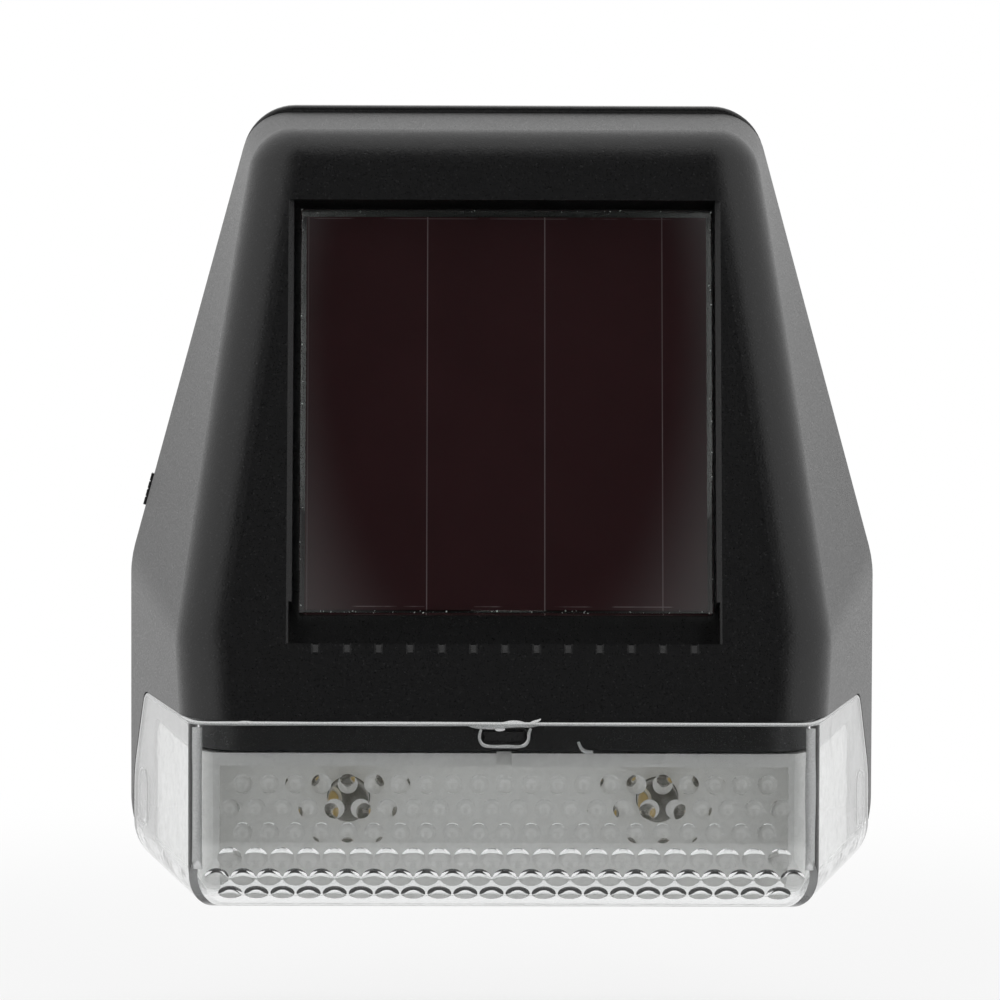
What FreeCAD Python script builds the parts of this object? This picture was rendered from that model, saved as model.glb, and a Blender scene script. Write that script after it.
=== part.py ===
"""Solar fence light: a drafted black housing with a sloping solar panel, a clear clip-on lens tray below it,
a white reflector with two LEDs, and a rear cover that hangs on two wall screws.

Millimetres. X runs to the right, Y into the wall, Z up. While it is modelled, Y = 0 is the wall and Z = 0
the lens's foot. Each piece is then lowered by HANGER_HEIGHT, so that the origin lies between the wall screws.
"""
import FreeCAD, Part
import math
import os
from FreeCAD import Vector

# ---- Driving dimensions --------------------------------------------------------------------------------
# Housing envelope
BODY_HALF_WIDTH = 46.1        # at the rear rim, below the shoulders
BODY_FLOOR = 0.6              # underside of the rear rim
BODY_TOP = 95.4               # top of the rear rim
REAR_SHOULDER = 40.0          # height where the rear edges start to lean in
REAR_TOP_HALF_WIDTH = 31.0
FRONT_SHOULDER = 31.8
FRONT_TOP = 93.0
FRONT_TOP_HALF_WIDTH = 30.0
SIDE_DRAFT = 0.245            # how far a low side runs in for each millimetre forward
FACE_TILT = math.radians(15.5)
FACE_DEPTH = 38.0             # of the sloping face, at FACE_HEIGHT
FACE_HEIGHT = 24.0
HOUSING_WALL = 2.0
SHOULDER_RADIUS = 14.0
FACE_SIDE_RADIUS = 6.5
FACE_TOP_RADIUS = 6.0
FOOT_RADIUS = 10.0

# Rear cover and its seal
COVER_DEPTH = 4.0
COVER_PLATE = 1.8
COVER_RIM = 2.4               # width of the rim round the cover's inside
COVER_DRIP_LIP = 0.8          # how far the cover stands above the housing's top
COVER_TOP_RADIUS = 6.5
COVER_EDGE_RADIUS = 0.55      # of its outer front edge
TONGUE_WALL = 1.2
TONGUE_LENGTH = 2.4
SEAL_THICKNESS = 0.5
SEAL_SET_BACK = 0.3
SEAL_WIDTH = 1.6
FIT_GAP = 0.3                 # clearance between moulded pieces

# Lens tray
LENS_DEPTH = 39.2             # from the wall to its front
LENS_WALL = 1.3
LENS_TOP = 23.1               # at the front
LENS_WING_TOP = 24.0
LENS_WING_APEX = 12.6         # from the wall
LENS_WING_KNEE = 13.6         # height where the wing's rear edge turns upright
LENS_REAR = 6.3               # from the wall
LENS_FLOOR_RISE = 0.0667      # the floor climbs this much for each millimetre towards the wall
LENS_FLOOR_LOW = 30.0         # from the wall, where the floor is at Z = 0
LENS_FRONT_FOOT_RADIUS = 9.0
LENS_SIDE_FOOT_RADIUS = 6.0
LENS_CORNER_RADIUS = 1.7
WING_APEX_RADIUS = 2.2
WING_KNEE_RADIUS = 10.0

# Dimples on the lens's inner face
DIMPLE_PITCH = 3.15
DIMPLE_RADIUS = 1.2
DIMPLE_HEIGHT = 0.4
DIMPLE_ROWS = ((15.8, 21), (12.8, 22), (9.9, 21))      # height and count of the rows on the upright wall
DIMPLE_CURVE_ROWS = ((16.0, 22), (35.0, 23), (54.0, 22))   # angle round the foot, in degrees, and count
DIMPLE_CURVE_RADIUS = 1.45
DIMPLE_OFFSET_X = 0.15

# Snap windows in the lens and the hooks that they catch
LATCH_HALF_WIDTH = 2.8
LATCH_LOW = 20.6
LATCH_HIGH = 22.6
LATCH_CORNER = 0.8
WING_WINDOW_FRONT = 13.3      # from the wall
WING_WINDOW_REAR = 9.0
WING_WINDOW_LOW = 7.5
WING_WINDOW_HIGH = 14.5
WING_WINDOW_CORNER = 1.6
WING_SKIN = 0.6               # left of the wing's wall outside its window
HOOK_GAP = 0.45               # between a hook and its window
HOOK_REACH = 1.1              # of the front hook, out of the lip

# Housing lip and light opening
LIP_WALL = 1.8
LIP_FOOT = 19.6               # at the front
LIP_FOOT_REAR = 21.4          # where the lip ends, along the sides
LIGHT_OPENING_REAR = 15.6     # from the wall
LIP_CORNER_RADIUS = 6.5

# Reflector tray
REFLECTOR_GAP = 0.6           # to the lens's inner face
REFLECTOR_WALL = 1.4
REFLECTOR_TOP = 19.2          # at the front
REFLECTOR_CORNER_RADIUS = 3.6
CHAMBER_HALF_WIDTH = 34.2     # of the lamp chamber's open front and bottom
REFLECTOR_REAR_RADIUS = 1.8
REFLECTOR_FRONT = 36.9        # from the wall
REFLECTOR_BACK_FACE = 24.5    # from the wall, the white face behind the lamps
REFLECTOR_SPLIT = 1.8         # width of the gap in the front strip
REFLECTOR_SPLIT_DEPTH = 1.2
EAR_HALF_SPREAD = 30.0
EAR_HEIGHT = 25.4
EAR_RADIUS = 3.6
POST_RADIUS = 3.0

# Solar panel and its recess
PANEL_SIDE = 50.0
PANEL_HEIGHT = 60.4           # of its middle
PANEL_OFFSET_X = 0.25         # it sits a little to the right in its recess
RECESS_HALF_WIDTH = 25.6
RECESS_GAP_TOP = 0.8
GUTTER_WIDTH = 4.0            # below the glass
GLASS_SUNK = 1.7              # below the housing's face
GLASS_THICKNESS = 2.0
FILM_THICKNESS = 0.3
FILM_MARGIN = 0.8
TAPE_THICKNESS = 0.8
TAPE_WIDTH = 4.0
RECESS_FLOOR = 1.6
RECESS_CHAMFER = 0.65
GUTTER_CHAMFER = 0.25         # what is left of the chamfer where the gutter is wider
GUTTER_TOP = 1.2              # the gutter widens this far above the glass's lower edge
WIRE_WINDOW_HALF_WIDTH = 6.0
WIRE_WINDOW_HEIGHT = 5.0
PAD_SPREAD = 5.0
PAD_DROP = 17.0               # below the panel's middle
PAD_RADIUS = 1.5
PAD_THICKNESS = 0.5
BUSBAR_WIDTH = 1.4
BUSBAR_THICKNESS = 0.1
DRAIN_COUNT = 13
DRAIN_PITCH = 3.8
DRAIN_HALF_WIDTH = 0.35
DRAIN_RUN = 1.25              # down the face, from the gutter's edge to where the notch runs out
DRAIN_DEPTH = 0.9             # at the gutter's edge
DRAIN_CHAMFER = 0.14
DRAIN_OFFSET_X = 0.1

# Wall hangers
HANGER_SPACING = 40.0
HANGER_HEIGHT = 67.0
HANGER_HEAD_RADIUS = 4.0
HANGER_SLOT_RADIUS = 1.9
HANGER_SLOT_RISE = 7.0
HANGER_POCKET = 3.4           # room for the screw's head behind the plate
HANGER_WALL = 1.4
HANGER_SIDE_ROOM = 0.6

# Cover screws: half spread and height of each pair
SCREW_PLACES = ((21.5, 87.5), (38.4, 8.2))
BOSS_RADIUS = 3.3
COVER_POST_RADIUS = 4.2
SCREW_RADIUS = 1.25
SCREW_LENGTH = 10.0
SCREW_HEAD_RADIUS = 2.5
SCREW_HEAD_HEIGHT = 1.7
COUNTERBORE_RADIUS = 3.0
COUNTERBORE_DEPTH = 2.2
PILOT_GAP = 0.05
CROSS_HALF_WIDTH = 0.35
CROSS_REACH = 1.5
CROSS_DEPTH = 0.9
SMALL_SCREW_RADIUS = 0.9
SMALL_SCREW_HEAD_RADIUS = 1.8
SMALL_SCREW_HEAD_HEIGHT = 1.3
EAR_SCREW_LENGTH = 6.0
BOARD_SCREW_LENGTH = 3.0

# Circuit board
BOARD_HALF_WIDTH = 27.0
BOARD_FOOT = 5.6
BOARD_TOP = 17.8
BOARD_THICKNESS = 1.2
BOARD_STANDOFF = 1.0
BOARD_POST_RADIUS = 2.2
BOARD_POST_SPREAD = 9.5
BOARD_POST_HEIGHT = 11.4
LEAD_SIZE = 0.5
LEAD_PITCH = 2.54
LEAD_TAIL = 1.1               # of a lead, past the board
HOLE_GAP = 0.1
SOLDER_RADIUS = 1.0
SOLDER_THICKNESS = 0.5

# Lamps
LED_SPREAD = 18.8
LED_HEIGHT = 12.6
LED_RADIUS = 2.5
LED_RIM_RADIUS = 2.9
LED_BARREL = 5.7
LED_HOLE_GAP = 0.1
LED_POST_HEIGHT = 4.6
LED_CUP_RADIUS = 0.9
LED_CUP_HEIGHT = 0.8
LED_BOWL_SHARE = 0.8          # of the cup's radius, that its bowl takes up

# Parts on the board
CHIP_WIDTH = 4.9
CHIP_HEIGHT = 3.9
CHIP_THICKNESS = 1.4
CHIP_PLACE = (0.0, 8.6)
CHIP_PIN_COUNT = 4
CHIP_PIN_PITCH = 1.27
CHIP_PIN_WIDTH = 0.4
CHIP_PIN_REACH = 1.1
CHIP_PIN_THICKNESS = 0.25
COIL_RADIUS = 1.9
COIL_LENGTH = 9.0
COIL_PLACE = (-10.5, 7.6)
COIL_LEAD_RADIUS = 0.3
COIL_LEAD_REACH = 1.6
CAPACITOR_RADIUS = 2.6
CAPACITOR_THICKNESS = 2.2
CAPACITOR_PLACE = (14.6, 8.4)
PART_LIFT = 0.3

# Battery
CELL_HEIGHT = 52.0
CELL_DEPTH = 11.6             # of its axis, from the wall
CELL_RADIUS = 5.05
CELL_LENGTH = 44.5
CELL_NUB_RADIUS = 1.9
CELL_NUB_LENGTH = 0.8
SLEEVE_WALL = 0.15
SLEEVE_GAP = 0.03
CONTACT_SIDE = 8.0
CONTACT_THICKNESS = 0.4
CONTACT_SPRING_ROOM = 4.0
CONTACT_LEAF_WIDTH = 4.0
CONTACT_TAB = 3.0
CRADLE_WALL = 1.5
CRADLE_GAP = 0.1
CRADLE_RAIL = 1.6
CRADLE_HALF_HEIGHT = 6.4

# Slide switch at the left edge
KNOB_HEIGHT = 48.5            # of its middle, when it is on
KNOB_LENGTH = 4.0
KNOB_THICKNESS = 1.3
KNOB_PROUD = 0.35
KNOB_TRAVEL = 2.0
KNOB_GAP = 0.25
KNOB_RIB_DEPTH = 0.1
KNOB_RIB_COUNT = 3
SWITCH_LENGTH = 9.0
SWITCH_THICKNESS = 3.6
SWITCH_WIDTH = 4.2
SWITCH_SET_BACK = 3.0
STEM_LENGTH = 1.6
STEM_THICKNESS = 0.9
STEM_REACH = 1.6
TERMINAL_LENGTH = 2.4
TERMINAL_WIDTH = 1.2
TERMINAL_THICKNESS = 0.4
TERMINAL_PITCH = 3.0

# Wires
WIRE_RADIUS = 0.55
WIRE_RUN = 7.0                # rough length of a run along a bend
WIRE_STUB = 4.0               # of a wire's straight ends
SWITCH_STUB = 5.0
ARC_SHARE = 0.45              # of the shorter run, that a wire's arc takes up
JOINT_HEIGHT = 15.2           # of the wires' joints on the board
PANEL_JOINT_SPREAD = 4.4
BATTERY_JOINT_SPREAD = 24.2
PANEL_WIRE_SLACK = 0.45       # how far a bend bows out, as a share of the straight way
BATTERY_WIRE_SLACK = 0.35
SWITCH_WIRE_SLACK = 0.8

# ---- Worked out from them ------------------------------------------------------------------------------
RIM_DEPTH = COVER_DEPTH + SEAL_THICKNESS      # of the housing's rear rim, from the wall
FACE_RISE = math.tan(FACE_TILT)
REAR_LEAN = (BODY_HALF_WIDTH - REAR_TOP_HALF_WIDTH) / (BODY_TOP - REAR_SHOULDER)
LEAN_ANGLE = math.atan(REAR_LEAN)
CORE_INSET = LENS_WALL + FIT_GAP              # of the housing's lip, from the lens's outside
RECESS_DEPTH = GLASS_SUNK + GLASS_THICKNESS + FILM_THICKNESS + TAPE_THICKNESS
REFLECTOR_REAR_FACE = REFLECTOR_BACK_FACE - REFLECTOR_WALL
BOARD_FRONT = REFLECTOR_REAR_FACE - BOARD_STANDOFF
BOARD_REAR = BOARD_FRONT - BOARD_THICKNESS
LONG = 200.0                  # longer than the whole light, for cutting tools
AHEAD = 0.5                   # how far a cutting tool stands past a face
NEAR = 0.01                   # two places this close are the same


def face_y(height):
    """Y of the sloping face at a height."""
    return -FACE_DEPTH + (height - FACE_HEIGHT) * FACE_RISE


def side_half(y):
    """Half the width of the low sides at Y, ahead of the rear rim."""
    return BODY_HALF_WIDTH + SIDE_DRAFT * (y + RIM_DEPTH)


def rear_half(height):
    """Half the width of the rear outline at a height above the shoulders."""
    return BODY_HALF_WIDTH - REAR_LEAN * (height - REAR_SHOULDER)


def floor_z(y):
    """Height of the lens's outer floor at Y."""
    return LENS_FLOOR_RISE * (y + LENS_FLOOR_LOW)


# ---- Shape helpers -------------------------------------------------------------------------------------
def block(x0, x1, y0, y1, z0, z1):
    return Part.makeBox(x1 - x0, y1 - y0, z1 - z0, Vector(x0, y0, z0))


def rod(radius, x, z, y0, y1):
    """A cylinder along Y."""
    return Part.makeCylinder(radius, y1 - y0, Vector(x, y0, z), Vector(0, 1, 0))


def fused(shapes):
    return shapes[0].fuse(list(shapes[1:])).removeSplitter()


def mirrored(shape):
    return shape.mirror(Vector(0, 0, 0), Vector(1, 0, 0))


def both_sides(shape):
    return [shape, mirrored(shape)]


def moved_edges(corners, gap):
    """Corners of a flat counter-clockwise outline once each of its edges has moved outward by gap."""
    count = len(corners)
    lines = []
    for i in range(count):
        (x0, z0), (x1, z1) = corners[i], corners[(i + 1) % count]
        length = math.hypot(x1 - x0, z1 - z0)
        run = ((x1 - x0) / length, (z1 - z0) / length)
        lines.append(((x0 + gap * run[1], z0 - gap * run[0]), run))
    moved = []
    for i in range(count):
        (ax, az), (au, aw) = lines[i - 1]
        (bx, bz), (bu, bw) = lines[i]
        reach = ((bx - ax) * bw - (bz - az) * bu) / (au * bw - aw * bu)
        moved.append((ax + reach * au, az + reach * aw))
    return moved


def rounded_wire(corners, radii):
    """A closed wire through 3-D corners, each rounded by its radius. A radius of 0 leaves a corner sharp."""
    count = len(corners)
    starts, ends, edges = [], [], []
    for i, corner in enumerate(corners):
        back = (corners[i - 1] - corner).normalize()
        on = (corners[(i + 1) % count] - corner).normalize()
        half_angle = back.getAngle(on) / 2
        reach = radii[i] / math.tan(half_angle)
        starts.append(corner + back * reach)
        ends.append(corner + on * reach)
        if radii[i] > 0:
            middle = corner + (back + on).normalize() * (radii[i] / math.sin(half_angle) - radii[i])
            edges.append(Part.Arc(starts[i], middle, ends[i]).toShape())
    for i in range(count):
        edges.append(Part.makeLine(ends[i], starts[(i + 1) % count]))
    return Part.Wire(Part.__sortEdges__(edges))


def prism(corners, radii, place, run):
    """A solid swept by the vector run from a rounded outline. place() turns its flat corners into points."""
    wire = rounded_wire([place(*corner) for corner in corners], radii)
    return Part.Face(wire).extrude(run)


def middle_of(edge):
    return edge.valueAt((edge.FirstParameter + edge.LastParameter) / 2)


def rounded_edges(shape, radius, test):
    return shape.makeFillet(radius, [edge for edge in shape.Edges if test(edge)])


def half_outline(foot, shoulder, top, inset):
    """A mirrored six-corner outline from its right foot, shoulder and top, moved in by inset."""
    right = [foot, shoulder, top]
    left = [(-x, z) for x, z in reversed(right)]
    return moved_edges(right + left, -inset)


# ---- Housing -------------------------------------------------------------------------------------------
def rear_outline(inset, lift=0.0):
    """Outline of the rear rim in X and Z. lift raises its top, with the sides running on at their lean."""
    top = (REAR_TOP_HALF_WIDTH - REAR_LEAN * lift, BODY_TOP + lift)
    return half_outline((BODY_HALF_WIDTH, BODY_FLOOR), (BODY_HALF_WIDTH, REAR_SHOULDER), top, inset)


def face_outline(inset):
    foot = (side_half(face_y(BODY_FLOOR)), BODY_FLOOR)
    shoulder = (side_half(face_y(FRONT_SHOULDER)), FRONT_SHOULDER)
    return half_outline(foot, shoulder, (FRONT_TOP_HALF_WIDTH, FRONT_TOP), inset)


def body_form(inset):
    """The housing's drafted outer form, with every side moved in by inset. At 0 it is the outside."""
    back = inset / math.cos(FACE_TILT)
    rear = [Vector(x, -RIM_DEPTH, z) for x, z in rear_outline(inset)]
    front = [Vector(x, face_y(z) + back, z) for x, z in face_outline(inset)]
    form = Part.makeLoft([Part.makePolygon(ring + ring[:1]) for ring in (rear, front)], True, True)

    def joins(edge, numbers):
        middle = middle_of(edge)
        return any(middle.distanceToPoint((rear[i] + front[i]) * 0.5) < AHEAD for i in numbers)

    def on_face(edge):
        middle = middle_of(edge)
        depth = abs(middle.y - face_y(middle.z) - back)
        return depth < NEAR and abs(middle.x) > FRONT_TOP_HALF_WIDTH / 2

    form = rounded_edges(form, SHOULDER_RADIUS - inset, lambda edge: joins(edge, (1, 4)))
    form = rounded_edges(form, FACE_SIDE_RADIUS - inset, on_face)
    top = max((face for face in form.Faces if middle_normal(face).z > 0.9), key=lambda face: face.Area)
    brow = [edge for edge in top.Edges if abs(middle_of(edge).y + RIM_DEPTH) > NEAR]
    form = form.makeFillet(FACE_TOP_RADIUS - inset, brow)
    half, low = BODY_HALF_WIDTH - inset, BODY_FLOOR + inset
    corners = [(half, low), (half, LONG), (-half, LONG), (-half, low)]
    radius = FOOT_RADIUS - inset
    form = form.common(prism(corners, [radius, 0, 0, radius], lambda x, z: Vector(x, -LONG, z),
                             Vector(0, 2 * LONG, 0)))
    left = form.common(block(-LONG, 0, -LONG, LONG, -LONG, LONG))
    return fused(both_sides(left))


def middle_normal(face):
    u0, u1, v0, v1 = face.ParameterRange
    return face.normalAt((u0 + u1) / 2, (v0 + v1) / 2)


def wing_outline(grow):
    """Side outline of the lens in Y and Z, grown by a clearance, with the radii of its corners."""
    corners = [(-LONG, -LONG), (-LENS_REAR, -LONG), (-LENS_REAR, LENS_WING_KNEE)]
    corners += [(-LENS_WING_APEX, LENS_WING_TOP), (-LENS_DEPTH, LENS_TOP), (-LONG, LENS_TOP)]
    radii = [0, 0, WING_KNEE_RADIUS + grow, WING_APEX_RADIUS + grow, LENS_DEPTH, 0]
    return moved_edges(corners, grow), radii


def wing_zone(grow):
    """Everything that the lens's side outline covers, right across the light."""
    corners, radii = wing_outline(grow)
    return prism(corners, radii, lambda y, z: Vector(-LONG, y, z), Vector(2 * LONG, 0, 0))


def tray_form(inset, corner_radius):
    """The lens tray's outer form filled in, with its walls moved in by inset. Its top and rear run on."""
    side_inset = inset * math.hypot(1, SIDE_DRAFT)
    y_front = tray_front(inset)
    y_rear = -RIM_DEPTH
    foot_radius = LENS_SIDE_FOOT_RADIUS - inset
    rings = []
    for y in (y_front, y_rear):
        half = side_half(y) - side_inset
        low = floor_z(y) + inset
        corners = [Vector(half, y, low), Vector(half, y, LONG), Vector(-half, y, LONG), Vector(-half, y, low)]
        rings.append(rounded_wire(corners, [foot_radius, 0, 0, foot_radius]))
    across = Part.makeLoft(rings, True, True)
    plan = [(side_half(y_front) - side_inset, y_front), (side_half(0) - side_inset, 0)]
    plan += [(-x, y) for x, y in reversed(plan)]
    upright = prism(plan, [corner_radius, 0, 0, corner_radius], lambda x, y: Vector(x, y, -LONG),
                    Vector(0, 0, 2 * LONG))
    side = [(y_front, floor_z(y_front) + inset), (0, floor_z(0) + inset), (0, LONG), (y_front, LONG)]
    along = prism(side, [LENS_FRONT_FOOT_RADIUS - inset, 0, 0, 0], lambda y, z: Vector(-LONG, y, z),
                  Vector(2 * LONG, 0, 0))
    return across.common(upright).common(along)


def on_face_frame():
    """Turns shapes drawn flat, with X across, Y up the slope and Z out of the face, to the panel's place."""
    turn = FreeCAD.Rotation(Vector(1, 0, 0), 90 - math.degrees(FACE_TILT))
    return FreeCAD.Placement(Vector(0, face_y(PANEL_HEIGHT), PANEL_HEIGHT), turn)


def set_in_face(shape):
    shape.Placement = on_face_frame().multiply(shape.Placement)
    return shape


def recess_limits():
    half = PANEL_SIDE / 2
    return -half - GUTTER_WIDTH, half + RECESS_GAP_TOP


def recess_box(grow, floor, top):
    low, high = recess_limits()
    half = RECESS_HALF_WIDTH + grow
    return set_in_face(block(-half, half, low - grow, high + grow, -floor, top))


def recess_cuts():
    """The panel's recess with its chamfered sides, its wider gutter, its wires' window and its drains."""
    low, high = recess_limits()
    reach = RECESS_HALF_WIDTH + RECESS_CHAMFER
    wedge = [Vector(RECESS_HALF_WIDTH - AHEAD, low, 0), Vector(reach, low, 0),
             Vector(RECESS_HALF_WIDTH, low, -RECESS_CHAMFER),
             Vector(RECESS_HALF_WIDTH - AHEAD, low, -RECESS_CHAMFER)]
    chamfer = Part.Face(Part.makePolygon(wedge + wedge[:1])).extrude(Vector(0, high - low, 0))
    gutter_half = reach - GUTTER_CHAMFER
    gutter = block(-gutter_half, gutter_half, low, GUTTER_TOP - PANEL_SIDE / 2, -RECESS_DEPTH, AHEAD)
    window = block(-WIRE_WINDOW_HALF_WIDTH, WIRE_WINDOW_HALF_WIDTH, -PAD_DROP - WIRE_WINDOW_HEIGHT / 2,
                   -PAD_DROP + WIRE_WINDOW_HEIGHT / 2, -LONG, 0)
    cuts = [set_in_face(shape) for shape in both_sides(chamfer) + [gutter, window] + drain_cuts(low)]
    return [recess_box(0, RECESS_DEPTH, LONG)] + cuts


def drain_cuts(low):
    """Notches that run out of the gutter's lower edge, drawn flat, each with a chamfer along its two sides."""
    slope = DRAIN_DEPTH / DRAIN_RUN
    groove = [(low + AHEAD, AHEAD), (low + AHEAD, -DRAIN_DEPTH - slope * AHEAD),
              (low - DRAIN_RUN - AHEAD / slope, AHEAD)]
    wide = DRAIN_HALF_WIDTH + DRAIN_CHAMFER
    edge = [(-wide, 0), (wide, 0), (DRAIN_HALF_WIDTH, -DRAIN_CHAMFER), (-DRAIN_HALF_WIDTH, -DRAIN_CHAMFER)]
    start = DRAIN_OFFSET_X - DRAIN_PITCH * (DRAIN_COUNT - 1) / 2
    cuts = []
    for i in range(DRAIN_COUNT):
        x = start + i * DRAIN_PITCH
        cuts.append(prism(groove, [0] * len(groove), lambda y, z: Vector(x - DRAIN_HALF_WIDTH, y, z),
                          Vector(2 * DRAIN_HALF_WIDTH, 0, 0)))
        cuts.append(prism(edge, [0] * len(edge), lambda across, z: Vector(x + across, low - DRAIN_RUN, z),
                          Vector(0, DRAIN_RUN + AHEAD, 0)))
    return cuts


def housing_hooks():
    """The front hook in the lens's latch window and the two wedges in the wings' windows."""
    front = tray_front(CORE_INSET)
    latch = block(-LATCH_HALF_WIDTH + HOOK_GAP, LATCH_HALF_WIDTH - HOOK_GAP, front - HOOK_REACH,
                  front + LIP_WALL / 2, LATCH_LOW + HOOK_GAP, LATCH_HIGH - HOOK_GAP)
    wedge_rear = -WING_WINDOW_REAR - HOOK_GAP
    wedge_front = -WING_WINDOW_FRONT + HOOK_GAP
    inner_face = side_half(-WING_WINDOW_REAR) - LENS_WALL * math.hypot(1, SIDE_DRAFT)
    wedge = block(side_half(wedge_front) - CORE_INSET - LIP_WALL / 2, inner_face - FIT_GAP, wedge_front,
                  wedge_rear, WING_WINDOW_LOW + 2 * HOOK_GAP, WING_WINDOW_HIGH - 2 * HOOK_GAP)
    return [latch] + both_sides(wedge)


def tray_front(inset):
    return inset - LENS_DEPTH


def housing_bosses(outside):
    """Posts for the cover's and the reflector's screws, trimmed to the housing's outside."""
    bosses = []
    for x, z in SCREW_PLACES:
        front = -LIGHT_OPENING_REAR if z < LIP_FOOT else -LONG
        bosses += both_sides(rod(BOSS_RADIUS, x, z, front, -RIM_DEPTH))
    bosses += both_sides(rod(POST_RADIUS, EAR_HALF_SPREAD, EAR_HEIGHT, -LONG, -REFLECTOR_BACK_FACE))
    return [boss.common(outside) for boss in bosses]


def pilot_holes():
    pilots = []
    depth = SCREW_LENGTH - (COVER_DEPTH - COUNTERBORE_DEPTH) + AHEAD
    for x, z in SCREW_PLACES:
        pilots += both_sides(rod(SCREW_RADIUS + PILOT_GAP, x, z, -RIM_DEPTH - depth, -COVER_DEPTH))
    ear_depth = EAR_SCREW_LENGTH - REFLECTOR_WALL + AHEAD
    pilots += both_sides(rod(SCREW_RADIUS + PILOT_GAP, EAR_HALF_SPREAD, EAR_HEIGHT,
                             -REFLECTOR_BACK_FACE - ear_depth, -REFLECTOR_BACK_FACE))
    return pilots


def front_housing():
    zone = wing_zone(FIT_GAP)
    inner_zone = wing_zone(FIT_GAP + HOUSING_WALL)
    outside = fused([body_form(0).cut(zone), tray_form(CORE_INSET, LIP_CORNER_RADIUS).common(zone)])
    core_inside = tray_form(CORE_INSET + LIP_WALL, LIP_CORNER_RADIUS - LIP_WALL)
    upper_inside = body_form(HOUSING_WALL)
    inside = fused([upper_inside.cut(inner_zone), core_inside.common(inner_zone)])
    light_opening = under_lip(0)
    shell = outside.cut(inside.fuse(block(-LONG, LONG, -RIM_DEPTH, LONG, -LONG, LONG)))
    pocket = recess_box(RECESS_FLOOR, RECESS_DEPTH + RECESS_FLOOR, -AHEAD).common(outside)
    shell = shell.cut(light_opening)
    solid = fused([shell, pocket] + housing_bosses(outside) + housing_hooks())
    for cut in recess_cuts() + pilot_holes():
        solid = solid.cut(cut)
    return solid


# ---- Rear cover, its seal and screws -------------------------------------------------------------------
def rear_prism(inset, y0, y1, lift=0.0):
    """A plate in the rear outline, from y0 to y1, with its corners rounded."""
    top = COVER_TOP_RADIUS - inset
    shoulder = SHOULDER_RADIUS - inset
    foot = FOOT_RADIUS - inset
    return prism(rear_outline(inset, lift), [foot, shoulder, top, top, shoulder, foot],
                 lambda x, z: Vector(x, y0, z), Vector(0, y1 - y0, 0))


def hanger_places():
    return (-HANGER_SPACING / 2, HANGER_SPACING / 2)


def hanger_box(x, grow, depth):
    """The room behind a keyhole for the wall screw's head, with its sides moved out by grow."""
    half = HANGER_HEAD_RADIUS + HANGER_SIDE_ROOM + grow
    top = HANGER_HEIGHT + HANGER_SLOT_RISE + HANGER_HEAD_RADIUS + grow
    return block(x - half, x + half, -depth, -COVER_PLATE / 2, HANGER_HEIGHT - half, top)


def keyhole(x):
    head = rod(HANGER_HEAD_RADIUS, x, HANGER_HEIGHT, -COVER_PLATE - HANGER_POCKET, AHEAD)
    slot_end = rod(HANGER_SLOT_RADIUS, x, HANGER_HEIGHT + HANGER_SLOT_RISE, -COVER_PLATE - AHEAD, AHEAD)
    slot = block(x - HANGER_SLOT_RADIUS, x + HANGER_SLOT_RADIUS, -COVER_PLATE - AHEAD, AHEAD,
                 HANGER_HEIGHT, HANGER_HEIGHT + HANGER_SLOT_RISE)
    return [head, slot_end, slot]


def cradle_ends():
    """X of the cradle's two inner end faces: the positive contact's side and the spring contact's side."""
    positive = -CELL_LENGTH / 2 - CONTACT_THICKNESS
    negative = CELL_LENGTH / 2 + CONTACT_SPRING_ROOM + CONTACT_THICKNESS
    return positive, negative


def battery_cradle():
    """End walls that hold the contacts and two rails that carry the cell, standing on the cover's plate."""
    positive, negative = cradle_ends()
    deep = CELL_DEPTH + CONTACT_SIDE / 2
    low, high = CELL_HEIGHT - CRADLE_HALF_HEIGHT, CELL_HEIGHT + CRADLE_HALF_HEIGHT
    walls = [block(positive - CRADLE_WALL, positive, -deep, -COVER_PLATE / 2, low, high),
             block(negative, negative + CRADLE_WALL, -deep, -COVER_PLATE / 2, low, high)]
    rail_depth = CELL_DEPTH - CELL_RADIUS / 2
    for z0 in (low, high - CRADLE_RAIL):
        walls.append(block(positive - CRADLE_WALL, negative + CRADLE_WALL, -rail_depth, -COVER_PLATE / 2, z0,
                           z0 + CRADLE_RAIL))
    hug = Part.makeCylinder(sleeve_radius() + CRADLE_GAP, negative - positive, Vector(positive, -CELL_DEPTH,
                            CELL_HEIGHT), Vector(1, 0, 0))
    saddles = [block(x - CRADLE_WALL, x + CRADLE_WALL, -CELL_DEPTH, -COVER_PLATE / 2, low, high)
               for x in (-CELL_LENGTH / 4, CELL_LENGTH / 4)]
    return [fused(walls + saddles).cut(hug)]


def sleeve_radius():
    return CELL_RADIUS + SLEEVE_GAP + SLEEVE_WALL


def right_edge_frame():
    """The cover's right edge at the knob's height, with X out of the edge and Z up along it."""
    turn = FreeCAD.Rotation(Vector(0, 1, 0), -math.degrees(LEAN_ANGLE))
    return FreeCAD.Placement(Vector(rear_half(KNOB_HEIGHT), 0, KNOB_HEIGHT), turn)


def beside_left_edge(shape):
    """Moves a shape drawn with X out of the cover's edge and Z up along it to the switch's place."""
    shape.Placement = right_edge_frame().multiply(shape.Placement)
    return mirrored(shape)


def point_beside_left_edge(out, y, up):
    point = right_edge_frame().multVec(Vector(out, y, up))
    return Vector(-point.x, point.y, point.z)


def knob_limits():
    """Y of the knob's front and rear faces."""
    front = -COVER_DEPTH + KNOB_GAP
    return front, front + KNOB_THICKNESS


def knob_slot():
    front, rear = knob_limits()
    half = KNOB_LENGTH / 2 + KNOB_GAP
    return beside_left_edge(block(-SWITCH_SET_BACK - AHEAD, LONG, -COVER_DEPTH - AHEAD, rear + KNOB_GAP,
                                  -half, half + KNOB_TRAVEL))


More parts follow.
